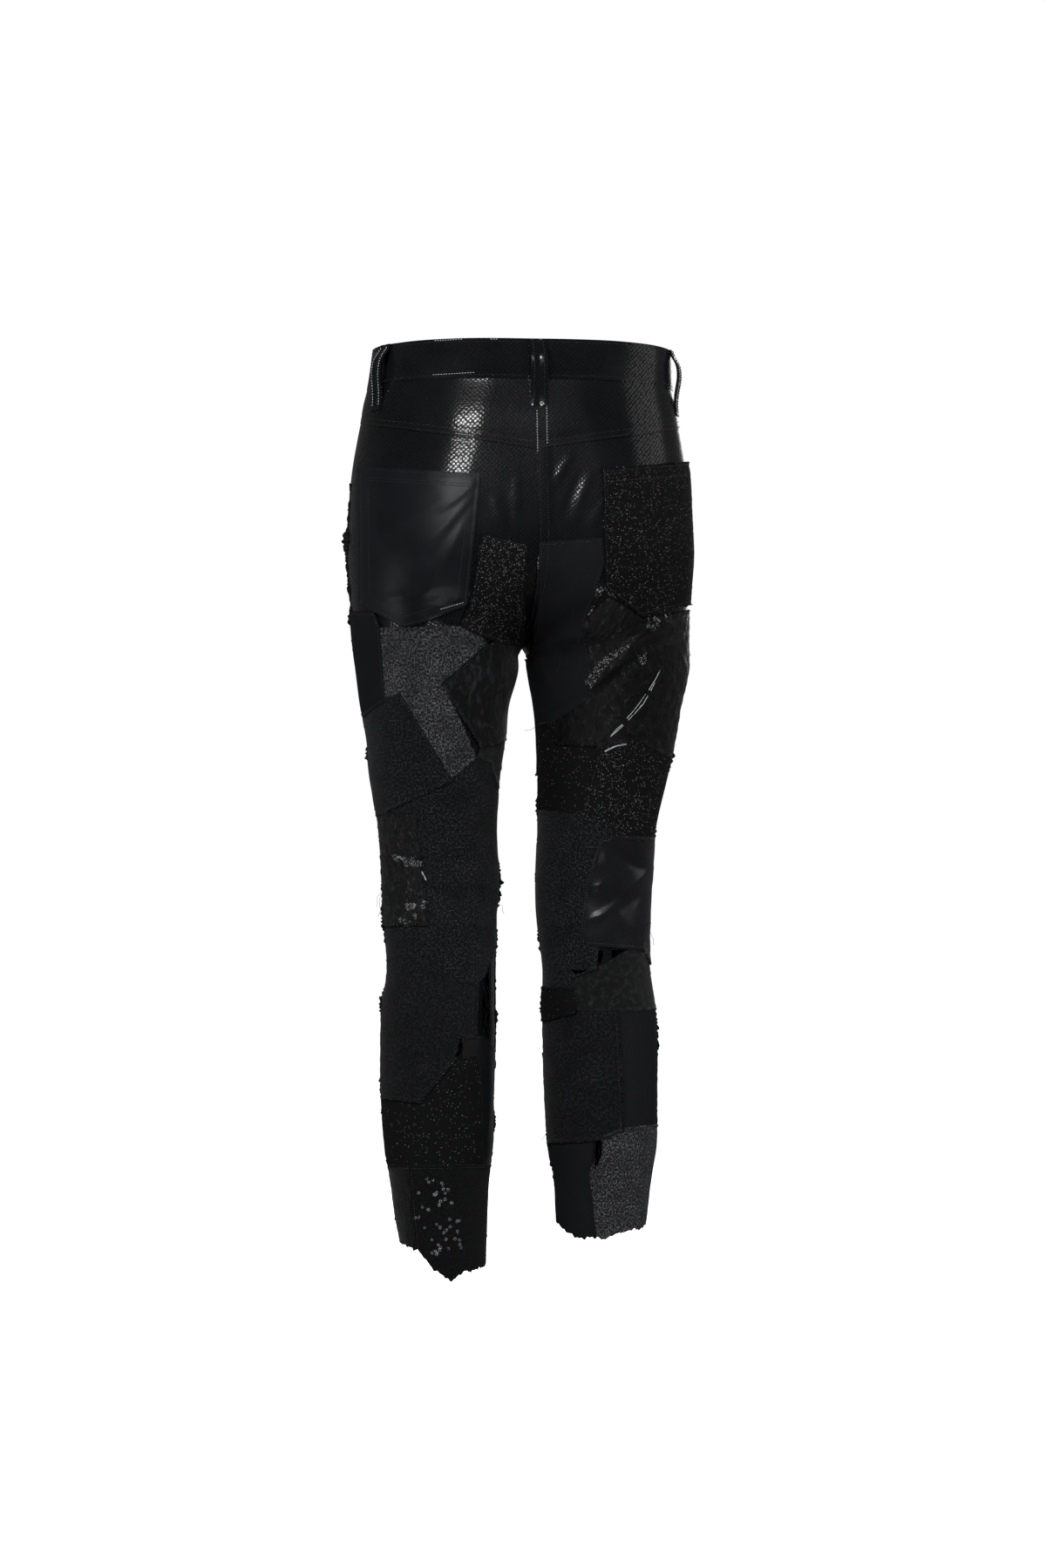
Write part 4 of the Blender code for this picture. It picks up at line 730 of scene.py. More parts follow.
def crease_heights(panel, seen):
    """How far the creases move the cloth out, at places on the drawing."""
    total = np.zeros(seen.shape[:-1])
    for crease in CREASES:
        if crease.panel != panel:
            continue
        start, end = np.array(pixel(*crease.start)), np.array(pixel(*crease.end))
        length = np.linalg.norm(end - start)
        along = (end - start) / length
        part = (seen - start) @ along / length
        bow = crease.bow * 0.001 * 4 * part * (1 - part)
        across = (seen - start) @ np.array((-along[1], along[0])) - bow
        taper = np.clip(np.sin(np.pi * np.clip(part, 0.0, 1.0)), 0.0, 1.0) ** 0.7
        width = crease.width * 0.001 * (0.55 + 0.45 * taper)
        total += crease.height * 0.001 * taper * hump(across, width)
    return total


def lay_chart(panel):
    """The panel's outer face in its worn shape: bare points, normals and the folds' heights."""
    across_sign, is_back = side_of(panel), panel.startswith("back")
    sections = sections_at(DROPS)
    bare = np.empty((len(DROPS), len(SHARES), 3))
    girths = np.empty(len(DROPS))
    for row, (drop, left, right, half_width, back, front, seam_y) in enumerate(sections):
        column = left if across_sign > 0 else right
        turned_under = max((drop - SEAT_CURVE_START) / (CROTCH_DROP - SEAT_CURVE_START), 0.05)
        inner_width = max(half_width, column / turned_under)
        angles = np.linspace(math.acos(min(column / inner_width, 1.0)), math.pi, 80)
        widths = np.where(angles < math.pi / 2, inner_width, half_width)
        x = across_sign * (column - widths * np.cos(angles))
        y = seam_y + (back if is_back else -front) * np.sin(angles)
        lengths = np.concatenate([[0.0], np.cumsum(np.hypot(np.diff(x), np.diff(y)))])
        girths[row] = lengths[-1]
        bare[row, :, 0] = np.interp(SHARES * lengths[-1], lengths, x)
        bare[row, :, 1] = np.interp(SHARES * lengths[-1], lengths, y)
    top = sections[0]
    y = bare[:, :, 1]
    tilt = np.where(y > 0, BACK_RISE * y / top[4], -FRONT_DIP * np.abs(y / top[5]) ** 1.5)
    fade = np.maximum(1.0 - DROPS / RISE_FADES_BY, 0.0) ** 2
    bare[:, :, 2] = -DROPS[:, None] + fade[:, None] * tilt
    normals = np.cross(np.gradient(bare, axis=1), np.gradient(bare, axis=0))
    normals *= across_sign * (1 if is_back else -1) / np.linalg.norm(normals, axis=2, keepdims=True)
    seen = to_drawing(bare, panel)
    share, drop = np.meshgrid(SHARES, DROPS)
    heights = np.zeros(share.shape)
    for fold in FOLDS:
        if fold.panel == panel:
            slope = math.radians(fold.slope)
            sideways, upwards = (share - fold.share) * girths[:, None], fold.drop - drop
            lengthways = sideways * math.cos(slope) + upwards * math.sin(slope)
            crossways = upwards * math.cos(slope) - sideways * math.sin(slope)
            heights += fold.height * np.exp(-(lengthways / fold.length) ** 2 - (crossways / fold.width) ** 2)
    heights += crease_heights(panel, seen)
    heights *= np.minimum(np.sin(np.pi * share) * 2.5, 1.0)
    return Chart(panel, bare, normals, heights, girths, seen)


def sample(grid, share, drop):
    """Values between the points of a chart's grid."""
    column = np.clip(np.asarray(share) * (len(SHARES) - 1), 0, len(SHARES) - 1.00001)
    row = np.clip(np.asarray(drop) / DROP_STEP, 0, len(DROPS) - 1.00001)
    left, top = column.astype(int), row.astype(int)
    beside, below = column - left, row - top
    if grid.ndim == 3:
        beside, below = beside[..., None], below[..., None]
    return ((grid[top, left] * (1 - beside) + grid[top, left + 1] * beside) * (1 - below)
            + (grid[top + 1, left] * (1 - beside) + grid[top + 1, left + 1] * beside) * below)


def on_cloth(panel, share, drop, lift=0.0):
    """Points of the folded outer face, moved out by lift."""
    chart = CHARTS[panel]
    height = sample(chart.heights, share, drop) + lift
    return sample(chart.bare, share, drop) + sample(chart.normals, share, drop) * height[..., None]


# ---- making pieces ----

def inset_outline(corners, distance):
    """The outline moved inwards by distance, outwards where it is negative."""
    area = sum(a[0] * b[1] - b[0] * a[1] for a, b in zip(corners, corners[1:] + corners[:1]))
    turn = 1 if area > 0 else -1
    moved = []
    for index, corner in enumerate(corners):
        before = Vector(corner) - Vector(corners[index - 1])
        after = Vector(corners[(index + 1) % len(corners)]) - Vector(corner)
        first = Vector((-before.y, before.x)).normalized() * turn
        second = Vector((-after.y, after.x)).normalized() * turn
        moved.append(tuple(Vector(corner) + (first + second) * (distance / max(1 + first.dot(second), 0.3))))
    return moved


def inside_outline(places, corners):
    """Which places on the drawing lie inside an outline."""
    x, y = places[:, 0], places[:, 1]
    inside = np.zeros(len(places), dtype=bool)
    for (ax, ay), (bx, by) in zip(corners, corners[1:] + corners[:1]):
        crosses = (ay > y) != (by > y)
        inside ^= crosses & (x < (bx - ax) * (y - ay) / (by - ay + 1e-12) + ax)
    return inside


def edge_distance(places, corners):
    """Distance from places on the drawing to an outline."""
    nearest = np.full(len(places), 1.0)
    for a, b in zip(corners, corners[1:] + corners[:1]):
        a, side = np.array(a), np.array(b) - np.array(a)
        part = np.clip((places - a) @ side / (side @ side), 0.0, 1.0)
        nearest = np.minimum(nearest, np.linalg.norm(places - a - part[:, None] * side, axis=1))
    return nearest


def hump(distance, width):
    """A rounded ridge: 1 where distance is 0, fading away over width on both sides."""
    return np.exp(-(distance / width) ** 2)


def ripple(points, size, seed=0.0):
    """Smooth uneven values from -1 to 1, with bumps about size apart."""
    scaled = points / size + seed
    total = np.zeros(len(points))
    ways = ((1.0, 0.71, 0.43), (-0.62, 1.13, 0.55), (0.38, -0.9, 1.21), (1.31, 0.2, -0.8))
    for turn, way in enumerate(ways):
        total += np.sin(scaled @ np.array(way) * 3.1 + turn * 1.7 + seed)
    return total / 4


def hem_drop(panel, share):
    """The ragged hem."""
    shares, drops = zip(*HEMS[panel])
    ragged = 0.0016 * np.sin(share * 61 + 1) * np.sin(share * 23) + 0.0009 * np.sin(share * 157)
    return np.interp(share, shares, drops) + ragged


def yoke_drop(panel, share):
    """The upper edge: under the yoke at the back, under the waistband in front."""
    if panel.startswith("front"):
        return WAISTBAND_DEPTH + SEAM_GAP + 0 * share
    return YOKE_DROP_CENTRE + (YOKE_DROP_SIDE - YOKE_DROP_CENTRE) * share


def panel_drop(panel, share, level):
    """Drop of a level: near the top and the hem the levels follow those edges."""
    high = yoke_drop(panel, share)
    first, last = yoke_drop(panel, np.array(1.0)), LOWEST_LEVEL
    at_top = high + (level - first) / (TOP_ROWS_END - first) * (TOP_ROWS_END - high)
    part = (level - HEM_ROWS_START) / (last - HEM_ROWS_START)
    at_hem = HEM_ROWS_START + part * (hem_drop(panel, share) - HEM_ROWS_START)
    return np.where(level < TOP_ROWS_END, at_top, np.where(level > HEM_ROWS_START, at_hem, level))


def cloth_grid(columns, rows, share_span=(0.0, 1.0), level_at=float):
    """Flat grid whose UV map holds (share, level) of every corner; level_at takes how far down it is."""
    sheet = bmesh.new()
    bmesh.ops.create_grid(sheet, x_segments=columns, y_segments=rows, size=0.5)
    map_layer = sheet.loops.layers.uv.new("cloth")
    low, high = share_span
    for face in sheet.faces:
        for loop in face.loops:
            place = loop.vert.co
            loop[map_layer].uv = (low + (place.x + 0.5) * (high - low), level_at(0.5 - place.y))
    return sheet


def mesh_of(sheet, name):
    """The sheet as a mesh, with (share, level) of each vertex and the vertex of each loop."""
    mesh = bpy.data.meshes.new(name)
    sheet.to_mesh(mesh)
    sheet.free()
    loops = np.empty(len(mesh.loops), dtype=np.int32)
    mesh.loops.foreach_get("vertex_index", loops)
    places = np.empty(len(mesh.loops) * 2)
    mesh.uv_layers["cloth"].uv.foreach_get("vector", places)
    result = np.zeros((len(mesh.vertices), 2))
    result[loops] = places.reshape(-1, 2)
    return mesh, result, loops


def set_points(mesh, points):
    """Puts the vertices in their places."""
    mesh.vertices.foreach_set("co", np.ascontiguousarray(points, dtype=np.float64).ravel())
    mesh.update()


def cloth_map(mesh, panel, share, drop, loops):
    """The UV map in metres on the flat cloth: across from the middle of the panel, and down."""
    girth = np.interp(drop, DROPS, CHARTS[panel].girths)
    flat = np.stack([(share - 0.5) * girth, drop], axis=1)
    mesh.uv_layers["cloth"].uv.foreach_set("vector", flat[loops].ravel())
    return flat


def flat_cut(flat, mesh):
    """Width, length and area of the flat cloth, turned so that its box is smallest."""
    mesh.calc_loop_triangles()
    triangles = np.empty(len(mesh.loop_triangles) * 3, dtype=np.int32)
    mesh.loop_triangles.foreach_get("vertices", triangles)
    a, b, c = (flat[triangles[start::3]] for start in range(3))
    doubled = (b[:, 0] - a[:, 0]) * (c[:, 1] - a[:, 1]) - (b[:, 1] - a[:, 1]) * (c[:, 0] - a[:, 0])
    area = np.abs(doubled).sum() / 2
    best = None
    for turn in np.radians(range(0, 90, 5)):
        turned = flat @ np.array(((math.cos(turn), -math.sin(turn)), (math.sin(turn), math.cos(turn))))
        width, length = np.ptp(turned, axis=0)
        if best is None or width * length < best[0] * best[1]:
            best = (width, length)
    return float(best[0]), float(best[1]), float(min(max(area, 0.31 * best[0] * best[1]), best[0] * best[1]))


def rim_edges(mesh):
    """Which edges belong to one face only."""
    loop_edges = np.empty(len(mesh.loops), dtype=np.int32)
    mesh.loops.foreach_get("edge_index", loop_edges)
    return np.bincount(loop_edges, minlength=len(mesh.edges)) == 1


def dress(mesh, name, cloth, wall=None, node=None):
    """Puts a mesh in the scene as a piece in its cloth, in place of its node."""
    piece = bpy.data.objects.new(name, mesh)
    bpy.context.scene.collection.objects.link(piece)
    mesh.materials.append(MATERIALS[cloth])
    mesh.shade_smooth()
    if wall:
        sharp = mesh.attributes.new("sharp_edge", "BOOLEAN", "EDGE")
        sharp.data.foreach_set("value", rim_edges(mesh))
        thick = piece.modifiers.new("wall", "SOLIDIFY")
        thick.thickness = wall
        thick.offset = -1.0
    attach(piece, "root")
    if node:
        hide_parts(node)
    return piece


def close_sheet(mesh, name, panel, share, drop, loops, cloth, wall, flat=None):
    """Turns a sheet's faces outwards, maps it, dresses it and measures its flat cut, which it doesn't keep.
    """
    if flat is None:
        flat = cloth_map(mesh, panel, share, drop, loops)
    # the chart's outward side decides which way the faces turn
    face = mesh.polygons[len(mesh.polygons) // 2]
    middle = face.vertices[0]
    outward = sample(CHARTS[panel].normals, share[middle:middle + 1], drop[middle:middle + 1])[0]
    if Vector(outward).dot(face.normal) < 0:
        mesh.flip_normals()
    width, length, area = flat_cut(flat, mesh)
    piece = dress(mesh, name + "_cloth", cloth, wall, name)
    return piece


def finish_sheet(sheet, name, panel, cloth, wall, lift_at, ragged=0.0, seed=1):
    """From a cut grid of (share, level) to a piece of cloth on its panel."""
    mesh, places, loops = mesh_of(sheet, name)
    share, drop = places[:, 0], panel_drop(panel, places[:, 0], places[:, 1])
    if ragged:
        edges = np.empty(len(mesh.edges) * 2, dtype=np.int32)
        mesh.edges.foreach_get("vertices", edges)
        rim = np.unique(edges.reshape(-1, 2)[rim_edges(mesh)])
        chance = np.random.default_rng(seed)
        girth = np.interp(drop[rim], DROPS, CHARTS[panel].girths)
        free = (share[rim] > 0.001) & (share[rim] < 0.999)
        share[rim] += free * chance.uniform(-1, 1, len(rim)) * ragged / girth
        drop[rim] += chance.uniform(-1, 1, len(rim)) * ragged
    seen = sample(CHARTS[panel].seen, share, drop)
    set_points(mesh, on_cloth(panel, share, drop, lift_at(seen, share, drop)))
    piece = close_sheet(mesh, name, panel, share, drop, loops, cloth, wall)
    SURFACES[face_of(panel)].append(piece)


def build_base_panels():
    """The coated cloth under the patchwork, which shows on the seat, with the gaps cut through."""
    for panel in HEMS:
        first = float(yoke_drop(panel, np.array(1.0)))
        fine_rows = int((SEAT_END - first) / BASE_SPACING)
        rows = fine_rows + int((LOWEST_LEVEL - SEAT_END) / (1.7 * BASE_SPACING))

        def level_at(down, rows=rows, fine_rows=fine_rows, first=first):
            return float(np.interp(down * rows, (0, fine_rows, rows), (first, SEAT_END, LOWEST_LEVEL)))

        sheet = cloth_grid(int(PANEL_WIDTH / BASE_SPACING), rows, level_at=level_at)
        place_cut_grid(sheet, panel)
        for window in WINDOWS:
            if window.panel == panel:
                cut_outline(sheet, panel, window.corners, keep_inside=False)

        def lift_at(seen, share, drop, panel=panel):
            from_seam = share * np.interp(drop, DROPS, CHARTS[panel].girths)
            on_seat = np.clip((0.275 - drop) / 0.02, 0.0, 1.0) * panel.startswith("back")
            # the felled seam: a raised strip on the wearer's right of the centre back
            strip = 0.0006 / (1 + np.exp((from_seam - FELLED_WIDTH) / 0.0004))
            rows = sum(hump(from_seam - row, 0.0009) for row in FELLED_ROWS)
            return on_seat * (strip - 0.00025 * rows) * (panel == "back_right")

        finish_sheet(sheet, panel, panel, "seat_coated", WALL, lift_at)


def place_cut_grid(sheet, panel):
    """Puts the grid on the bare cloth, so that planes can cut it."""
    layer = sheet.loops.layers.uv["cloth"]
    share, level = np.zeros(len(sheet.verts)), np.zeros(len(sheet.verts))
    sheet.verts.index_update()
    for face in sheet.faces:
        for loop in face.loops:
            share[loop.vert.index], level[loop.vert.index] = loop[layer].uv
    points = sample(CHARTS[panel].bare, share, panel_drop(panel, share, level))
    for vertex, point in zip(sheet.verts, points):
        vertex.co = point


def cut_outline(sheet, panel, corners, keep_inside=True, insets=(0.0,)):
    """Cuts the sheet along an outline of the drawing, by planes through the eye."""
    eye = view_point(panel)
    for inset in insets:
        line = inset_outline(corners, inset) if inset else list(corners)
        for a, b in zip(line, line[1:] + line[:1]):
            faces = sheet.faces[:]
            centres = to_drawing(np.array([face.calc_center_median() for face in faces]), panel)
            start, side = np.array(a), np.array(b) - np.array(a)
            part = np.clip((centres - start) @ side / (side @ side), 0.0, 1.0)
            near = np.linalg.norm(centres - start - part[:, None] * side, axis=1) < 2.2 * BASE_SPACING
            chosen = [faces[index] for index in np.flatnonzero(near)]
            if not chosen:
                continue
            edges = {edge for face in chosen for edge in face.edges}
            corners_of = {vertex for face in chosen for vertex in face.verts}
            across = (drawing_point(a, panel) - eye).cross(drawing_point(b, panel) - eye).normalized()
            bmesh.ops.bisect_plane(sheet, geom=chosen + list(edges) + list(corners_of), dist=1e-6,
                                   plane_co=eye, plane_no=across)
        if inset == 0.0:
            centres = to_drawing(np.array([face.calc_center_median() for face in sheet.faces]), panel)
            kept = inside_outline(centres, line) == keep_inside
            extra = [face for face, keep in zip(sheet.faces[:], kept) if not keep]
            bmesh.ops.delete(sheet, geom=extra, context="FACES")


def build_patches():
    """Patches, back pockets and the fly, each cut from a sheet on its panel."""
    for number, patch in enumerate(PATCHES):
        layer = LAYERS.get(patch.name, 0)
        outline = inset_outline(patch.corners, -OVERLAPS[layer])
        low, high = np.array(outline).min(axis=0) - 0.004, np.array(outline).max(axis=0) + 0.004
        chart = CHARTS[patch.panel]
        reached = np.all((chart.seen > low) & (chart.seen < high), axis=2)
        rows, columns = np.flatnonzero(reached.any(axis=1)), np.flatnonzero(reached.any(axis=0))
        shares = (SHARES[max(columns[0] - 1, 0)], SHARES[min(columns[-1] + 1, len(SHARES) - 1)])
        first = float(yoke_drop(patch.panel, np.array(1.0)))
        levels = (max(DROPS[rows[0]] - 0.035, first), min(DROPS[rows[-1]] + 0.004, LOWEST_LEVEL))
        if levels[0] > TOP_ROWS_END + 0.04 or patch.name == "fly":
            levels = (max(DROPS[rows[0]] - 0.004, first), levels[1])
        girth = float(np.interp(sum(levels) / 2, DROPS, chart.girths))
        across = max(int((shares[1] - shares[0]) * girth / SPACING), 3)
        down = max(int((levels[1] - levels[0]) / SPACING), 3)
        sheet = cloth_grid(across, down, shares,
                           lambda part, levels=levels: levels[0] + part * (levels[1] - levels[0]))
        place_cut_grid(sheet, patch.panel)
        cut_outline(sheet, patch.panel, outline, insets=((0.0, 0.0018, 0.0038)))
        for window in WINDOWS:
            middle = np.mean(window.corners, axis=0)
            if window.panel == patch.panel and np.all(middle > low - 0.02) and np.all(middle < high + 0.02):
                cut_outline(sheet, patch.panel, window.corners, keep_inside=False)
        wall = WALLS.get(patch.cloth, WALL)
        lift = SEAM_GAP + wall + LAYER_STEP * layer
        rough, size = SURFACE_RELIEF.get(patch.cloth, (0.00008, 0.012))
        raw = patch.cloth not in TURNED_EDGES

        def lift_at(seen, share, drop, patch=patch, outline=outline, lift=lift, rough=rough, size=size,
                    raw=raw):
            away = edge_distance(seen, outline)
            points = sample(CHARTS[patch.panel].bare, share, drop)
            rim = 0.0005 * hump(away, 0.0016) if raw else -0.0004 * hump(away, 0.0012)
            seam = -0.00035 * hump(away - 0.0036, 0.0012)
            pucker = 0.00030 * ripple(points, 0.009, number_seed(patch.name)) * np.exp(-away / 0.006)
            crumple = rough * ripple(points, size, number_seed(patch.name) + 2.0)
            return lift + rim + seam + pucker + crumple

        finish_sheet(sheet, patch.name, patch.panel, patch.cloth, wall, lift_at,
                     ragged=0.0007 if raw else 0.0, seed=number + 11)


def number_seed(name):
    """A steady number for a name, so that every patch is uneven in its own way."""
    return sum(ord(letter) * (place + 1) for place, letter in enumerate(name)) % 97 / 9.7


def build_yokes():
    """The V-shaped yoke; its folded lower edge laps over the panels."""
    for panel in ("back_left", "back_right"):
        name = panel.replace("back", "yoke")
        rows = int(0.066 / BASE_SPACING)
        sheet = cloth_grid(int(PANEL_WIDTH / BASE_SPACING), rows)
        mesh, places, loops = mesh_of(sheet, name)
        share, part = places[:, 0], places[:, 1]
        high = WAISTBAND_DEPTH - 0.002
        low = yoke_drop(panel, share) + YOKE_LAP
        drop = high + part * (low - high)
        below = low - drop
        lift = 0.00035 + 0.0012 * np.sin(np.pi * np.clip(part, 0, 1))
        lift += 0.00045 * hump(below, 0.004)
        for row, width in zip(YOKE_ROWS, (0.0008, 0.0012)):
            lift -= 0.0003 * hump(below - row, width)
        set_points(mesh, on_cloth(panel, share, drop, lift))
        SURFACES["back"].append(close_sheet(mesh, name, panel, share, drop, loops, "seat_coated", WALL))


def waist_place(turn):
    """Panel and share of places round the waist: 0 centre front, 1 left side, 2 centre back."""
    quarter = np.minimum(np.mod(turn, 4.0).astype(int), 3)
    part = np.mod(turn, 4.0) - quarter
    return quarter, np.where((quarter == 0) | (quarter == 2), part, 1.0 - part)


QUARTERS = ("front_left", "back_left", "back_right", "front_right")


def round_waist(turn, drop, lift):
    """Points round the waist, whichever panel they lie on."""
    quarter, share = waist_place(turn)
    points = np.empty((len(turn), 3))
    for index, panel in enumerate(QUARTERS):
        here = quarter == index
        points[here] = on_cloth(panel, share[here], drop[here], lift[here])
    return points


def build_waistband():
    """One band, folded at its top edge; its left end laps over its right end at the front."""
    quarter_length = CHARTS["front_left"].girths[8]        # half way down the band
    start = -LAP / quarter_length
    columns, rows = int(4 * quarter_length / BASE_SPACING), 14
    mesh, places, loops = mesh_of(cloth_grid(columns, rows), "waistband")
    turn, drop = start + places[:, 0] * (4.0 - start), places[:, 1] * WAISTBAND_DEPTH
    rise = np.clip((LAP_RAMP[0] - turn) / LAP_RAMP[1], 0.0, 1.0)
    lapped = LAP_RISE * rise * rise * (3 - 2 * rise)
    flat = np.stack([turn * quarter_length, drop], axis=1)
    seam = sum(hump(drop - row, 0.0010) for row in WAISTBAND_ROWS)
    swell = 0.0004 * ripple(np.stack([flat[:, 0], flat[:, 1], 0 * drop], axis=1), 0.030, 3.0) - 0.00030 * seam
    set_points(mesh, round_waist(turn, drop, 0.0010 + lapped + swell))
    mesh.uv_layers["cloth"].uv.foreach_set("vector", flat[loops].ravel())
    face = mesh.polygons[0]
    if face.center.x * face.normal.x + face.center.y * face.normal.y < 0:
        mesh.flip_normals()
    piece = dress(mesh, "waistband_cloth", "waist_coated", 0.0020, "waistband")
    for pieces in SURFACES.values():
        pieces.append(piece)


def build_loops():
    """Belt loops: straps with two raised edges, bar-tacked at both ends."""
    clear = 0.0010 + LOOP_STAND + 0.0018
    rows, heights = zip(*LOOP_SIDE_VIEW)
    seats = [0.0031 if drop < WAISTBAND_DEPTH / 2 else 0.0024 for drop in rows]
    heights = [seat + part * (clear - seat) for seat, part in zip(seats, heights)]
    for name, panel, share in LOOPS:
        girth = CHARTS[panel].girths[0]
        mesh, places, loops = mesh_of(cloth_grid(14, 56), name)
        across, row = places[:, 0], places[:, 1] * (len(rows) - 1)
        drop = np.interp(row, range(len(rows)), rows)

        def strap_point(across, drop, panel=panel, share=share, girth=girth):
            # a smooth side view: the heights are averaged over a short stretch
            shifts = np.linspace(-0.0045, 0.0045, 9)
            lift = np.mean([np.interp(drop + shift, rows, heights) for shift in shifts], axis=0)
            ribs = hump(np.abs(across - 0.5) - 0.30, 0.10)
            lift += 0.0003 * ribs - 0.0003 * hump(across - 0.5, 0.08)
            at = share + (across - 0.5) * LOOP_WIDTH / girth
            points = on_cloth(panel, np.abs(at), drop, lift)
            points[:, 0] = np.where(at < 0.0, -points[:, 0], points[:, 0])
            return points

        set_points(mesh, strap_point(across, drop))
        drops = np.linspace(0.003, LOOP_END - 0.002, 90)
        normals = sample(CHARTS[panel].normals, np.full(90, share), drops)
        # the left side loop's stitches are in pale thread: a painted glint
        for place in (0.20, 0.80):
            sew("glossy" if name == "loop_side_left" else face_of(panel),
                [np.concatenate([strap_point(np.full(90, place), drops), normals], axis=1)],
                SEAM_PITCH, 0.00042)
        flat = np.stack([(across - 0.5) * LOOP_WIDTH, drop], axis=1)
        mesh.uv_layers["cloth"].uv.foreach_set("vector", flat[loops].ravel())
        close_sheet(mesh, name, panel, np.full(len(drop), share), drop, loops, "seat_coated", 0.0018, flat)


def build_button():
    """Round metal button: a domed cap with a turned rim, on the waistband's lapped end."""
    chart = CHARTS["front_right"]
    share = LAP / 2 / chart.girths[0]
    drop = WAISTBAND_DEPTH / 2
    facing = Vector(sample(chart.normals, np.array([share]), np.array([drop]))[0])
    middle = Vector(on_cloth("front_right", np.array([share]), np.array([drop]), 0.0034)[0])
    profile = [(0.0, 0.0), (0.95, 0.0), (1.0, 0.10), (1.0, 0.70), (0.93, 0.95), (0.85, 1.0), (0.78, 0.93),
               (0.70, 0.80), (0.35, 0.88), (0.0, 0.90)]
    disc = bmesh.new()
    line = [disc.verts.new((radius * BUTTON_RADIUS, 0.0, height * BUTTON_HEIGHT))
            for radius, height in profile]
    edges = [disc.edges.new(pair) for pair in zip(line, line[1:])]
    bmesh.ops.spin(disc, geom=line + edges, angle=2 * math.pi, steps=40, use_merge=True,
                   axis=(0, 0, 1), cent=(0, 0, 0))
    bmesh.ops.remove_doubles(disc, verts=disc.verts, dist=1e-6)
    bmesh.ops.recalc_face_normals(disc, faces=disc.faces)
    turn = facing.to_track_quat("Z", "Y").to_matrix().to_4x4()
    bmesh.ops.transform(disc, matrix=Matrix.Translation(middle) @ turn, verts=disc.verts)
    mesh = bpy.data.meshes.new("button")
    disc.to_mesh(mesh)
    disc.free()
    dress(mesh, "button_cap", "button_metal", None, "button")


def build_piping():
    """Glossy piping sewn across the fur patch."""
    # the grid covers the outer share of the thigh, 0.30 to 0.39 down
    sheet = cloth_grid(60, 50, (0.55, 1.0), lambda part: 0.30 + part * 0.09)
    place_cut_grid(sheet, "back_right")
    cut_outline(sheet, "back_right", PIPING_CORNERS)

    def lift_at(seen, share, drop):
        away = edge_distance(seen, PIPING_CORNERS)
        rolled = 0.0007 * hump(away - 0.0012, 0.0007)
        return 0.0036 + rolled - 0.0004 * hump(away - 0.0028, 0.0008)

    finish_sheet(sheet, "piping", "back_right", "glossy_tape", 0.0014, lift_at)


def build_painted_highlight_cords():
    """The piping's two rolled edges, as thin pale cords on it, and two more short pale cords: painted
    highlights.
    """
    lines = [run[:, :3] + run[:, 3:] * 0.0002 for corners in PIPING_PAINTED_HIGHLIGHTS
             for run in lay_line("back_right", [pixel(*corner) for corner in corners], 0.002)]
    threads("piping_edges", lines, 0.00042, "highlight_painted_cord")
    bits = [run[:, :3] for panel, corners in PAINTED_HIGHLIGHT_BITS
            for run in lay_line(panel, [pixel(*corner) for corner in corners], 0.002)]
    threads("rolled_bits", bits, 0.0008, "highlight_painted_cord")


# ---- thread, fibres and small trims ----

def shape_arrays(shape):
    """Points and triangles of a small shape."""
    bmesh.ops.triangulate(shape, faces=shape.faces[:])
    shape.verts.index_update()
    points = np.array([vertex.co[:] for vertex in shape.verts])
    faces = np.array([[vertex.index for vertex in face.verts] for face in shape.faces])
    shape.free()
    return points, faces


def small_ball():
    """A stitch before it is stretched."""
    shape = bmesh.new()
    bmesh.ops.create_icosphere(shape, subdivisions=1, radius=1.0)
    return shape_arrays(shape)


def small_plate():
    """A foil fleck before it is flattened."""
    shape = bmesh.new()
    bmesh.ops.create_cube(shape, size=1.0)
    return shape_arrays(shape)


def small_arc(turn, steps, thick):
    """A bent fibre of three sides: an arc of a circle of radius 1, from the origin along +X."""
    shape = bmesh.new()
    bmesh.ops.create_circle(shape, segments=3, radius=thick, matrix=Matrix.Rotation(math.pi / 2, 4, "Y"))
    bmesh.ops.spin(shape, geom=shape.verts[:] + shape.edges[:], angle=-turn, steps=steps, use_merge=False,
                   axis=(0, 1, 0), cent=(0, 0, -1))
    bmesh.ops.scale(shape, vec=(1 / math.sin(min(turn, math.pi / 2)), 1, 1), verts=shape.verts[:])
    return shape_arrays(shape)


def small_ring(inner, high):
    """A flat ring of radius 1."""
    shape = bmesh.new()
    section = ((inner, 0, 0), (1, 0, 0), (0.96, 0, high), (inner + 0.05, 0, high))
    line = [shape.verts.new(place) for place in section]
    edges = [shape.edges.new(pair) for pair in zip(line, line[1:] + line[:1])]
    bmesh.ops.spin(shape, geom=line + edges, angle=math.tau, steps=12, use_merge=True,
                   axis=(0, 0, 1), cent=(0, 0, 0))
    bmesh.ops.remove_doubles(shape, verts=shape.verts[:], dist=1e-5)
    bmesh.ops.recalc_face_normals(shape, faces=shape.faces[:])
    return shape_arrays(shape)


def unit(vectors):
    """Vectors of length 1."""
    return vectors / np.maximum(np.linalg.norm(vectors, axis=-1, keepdims=True), 1e-9)


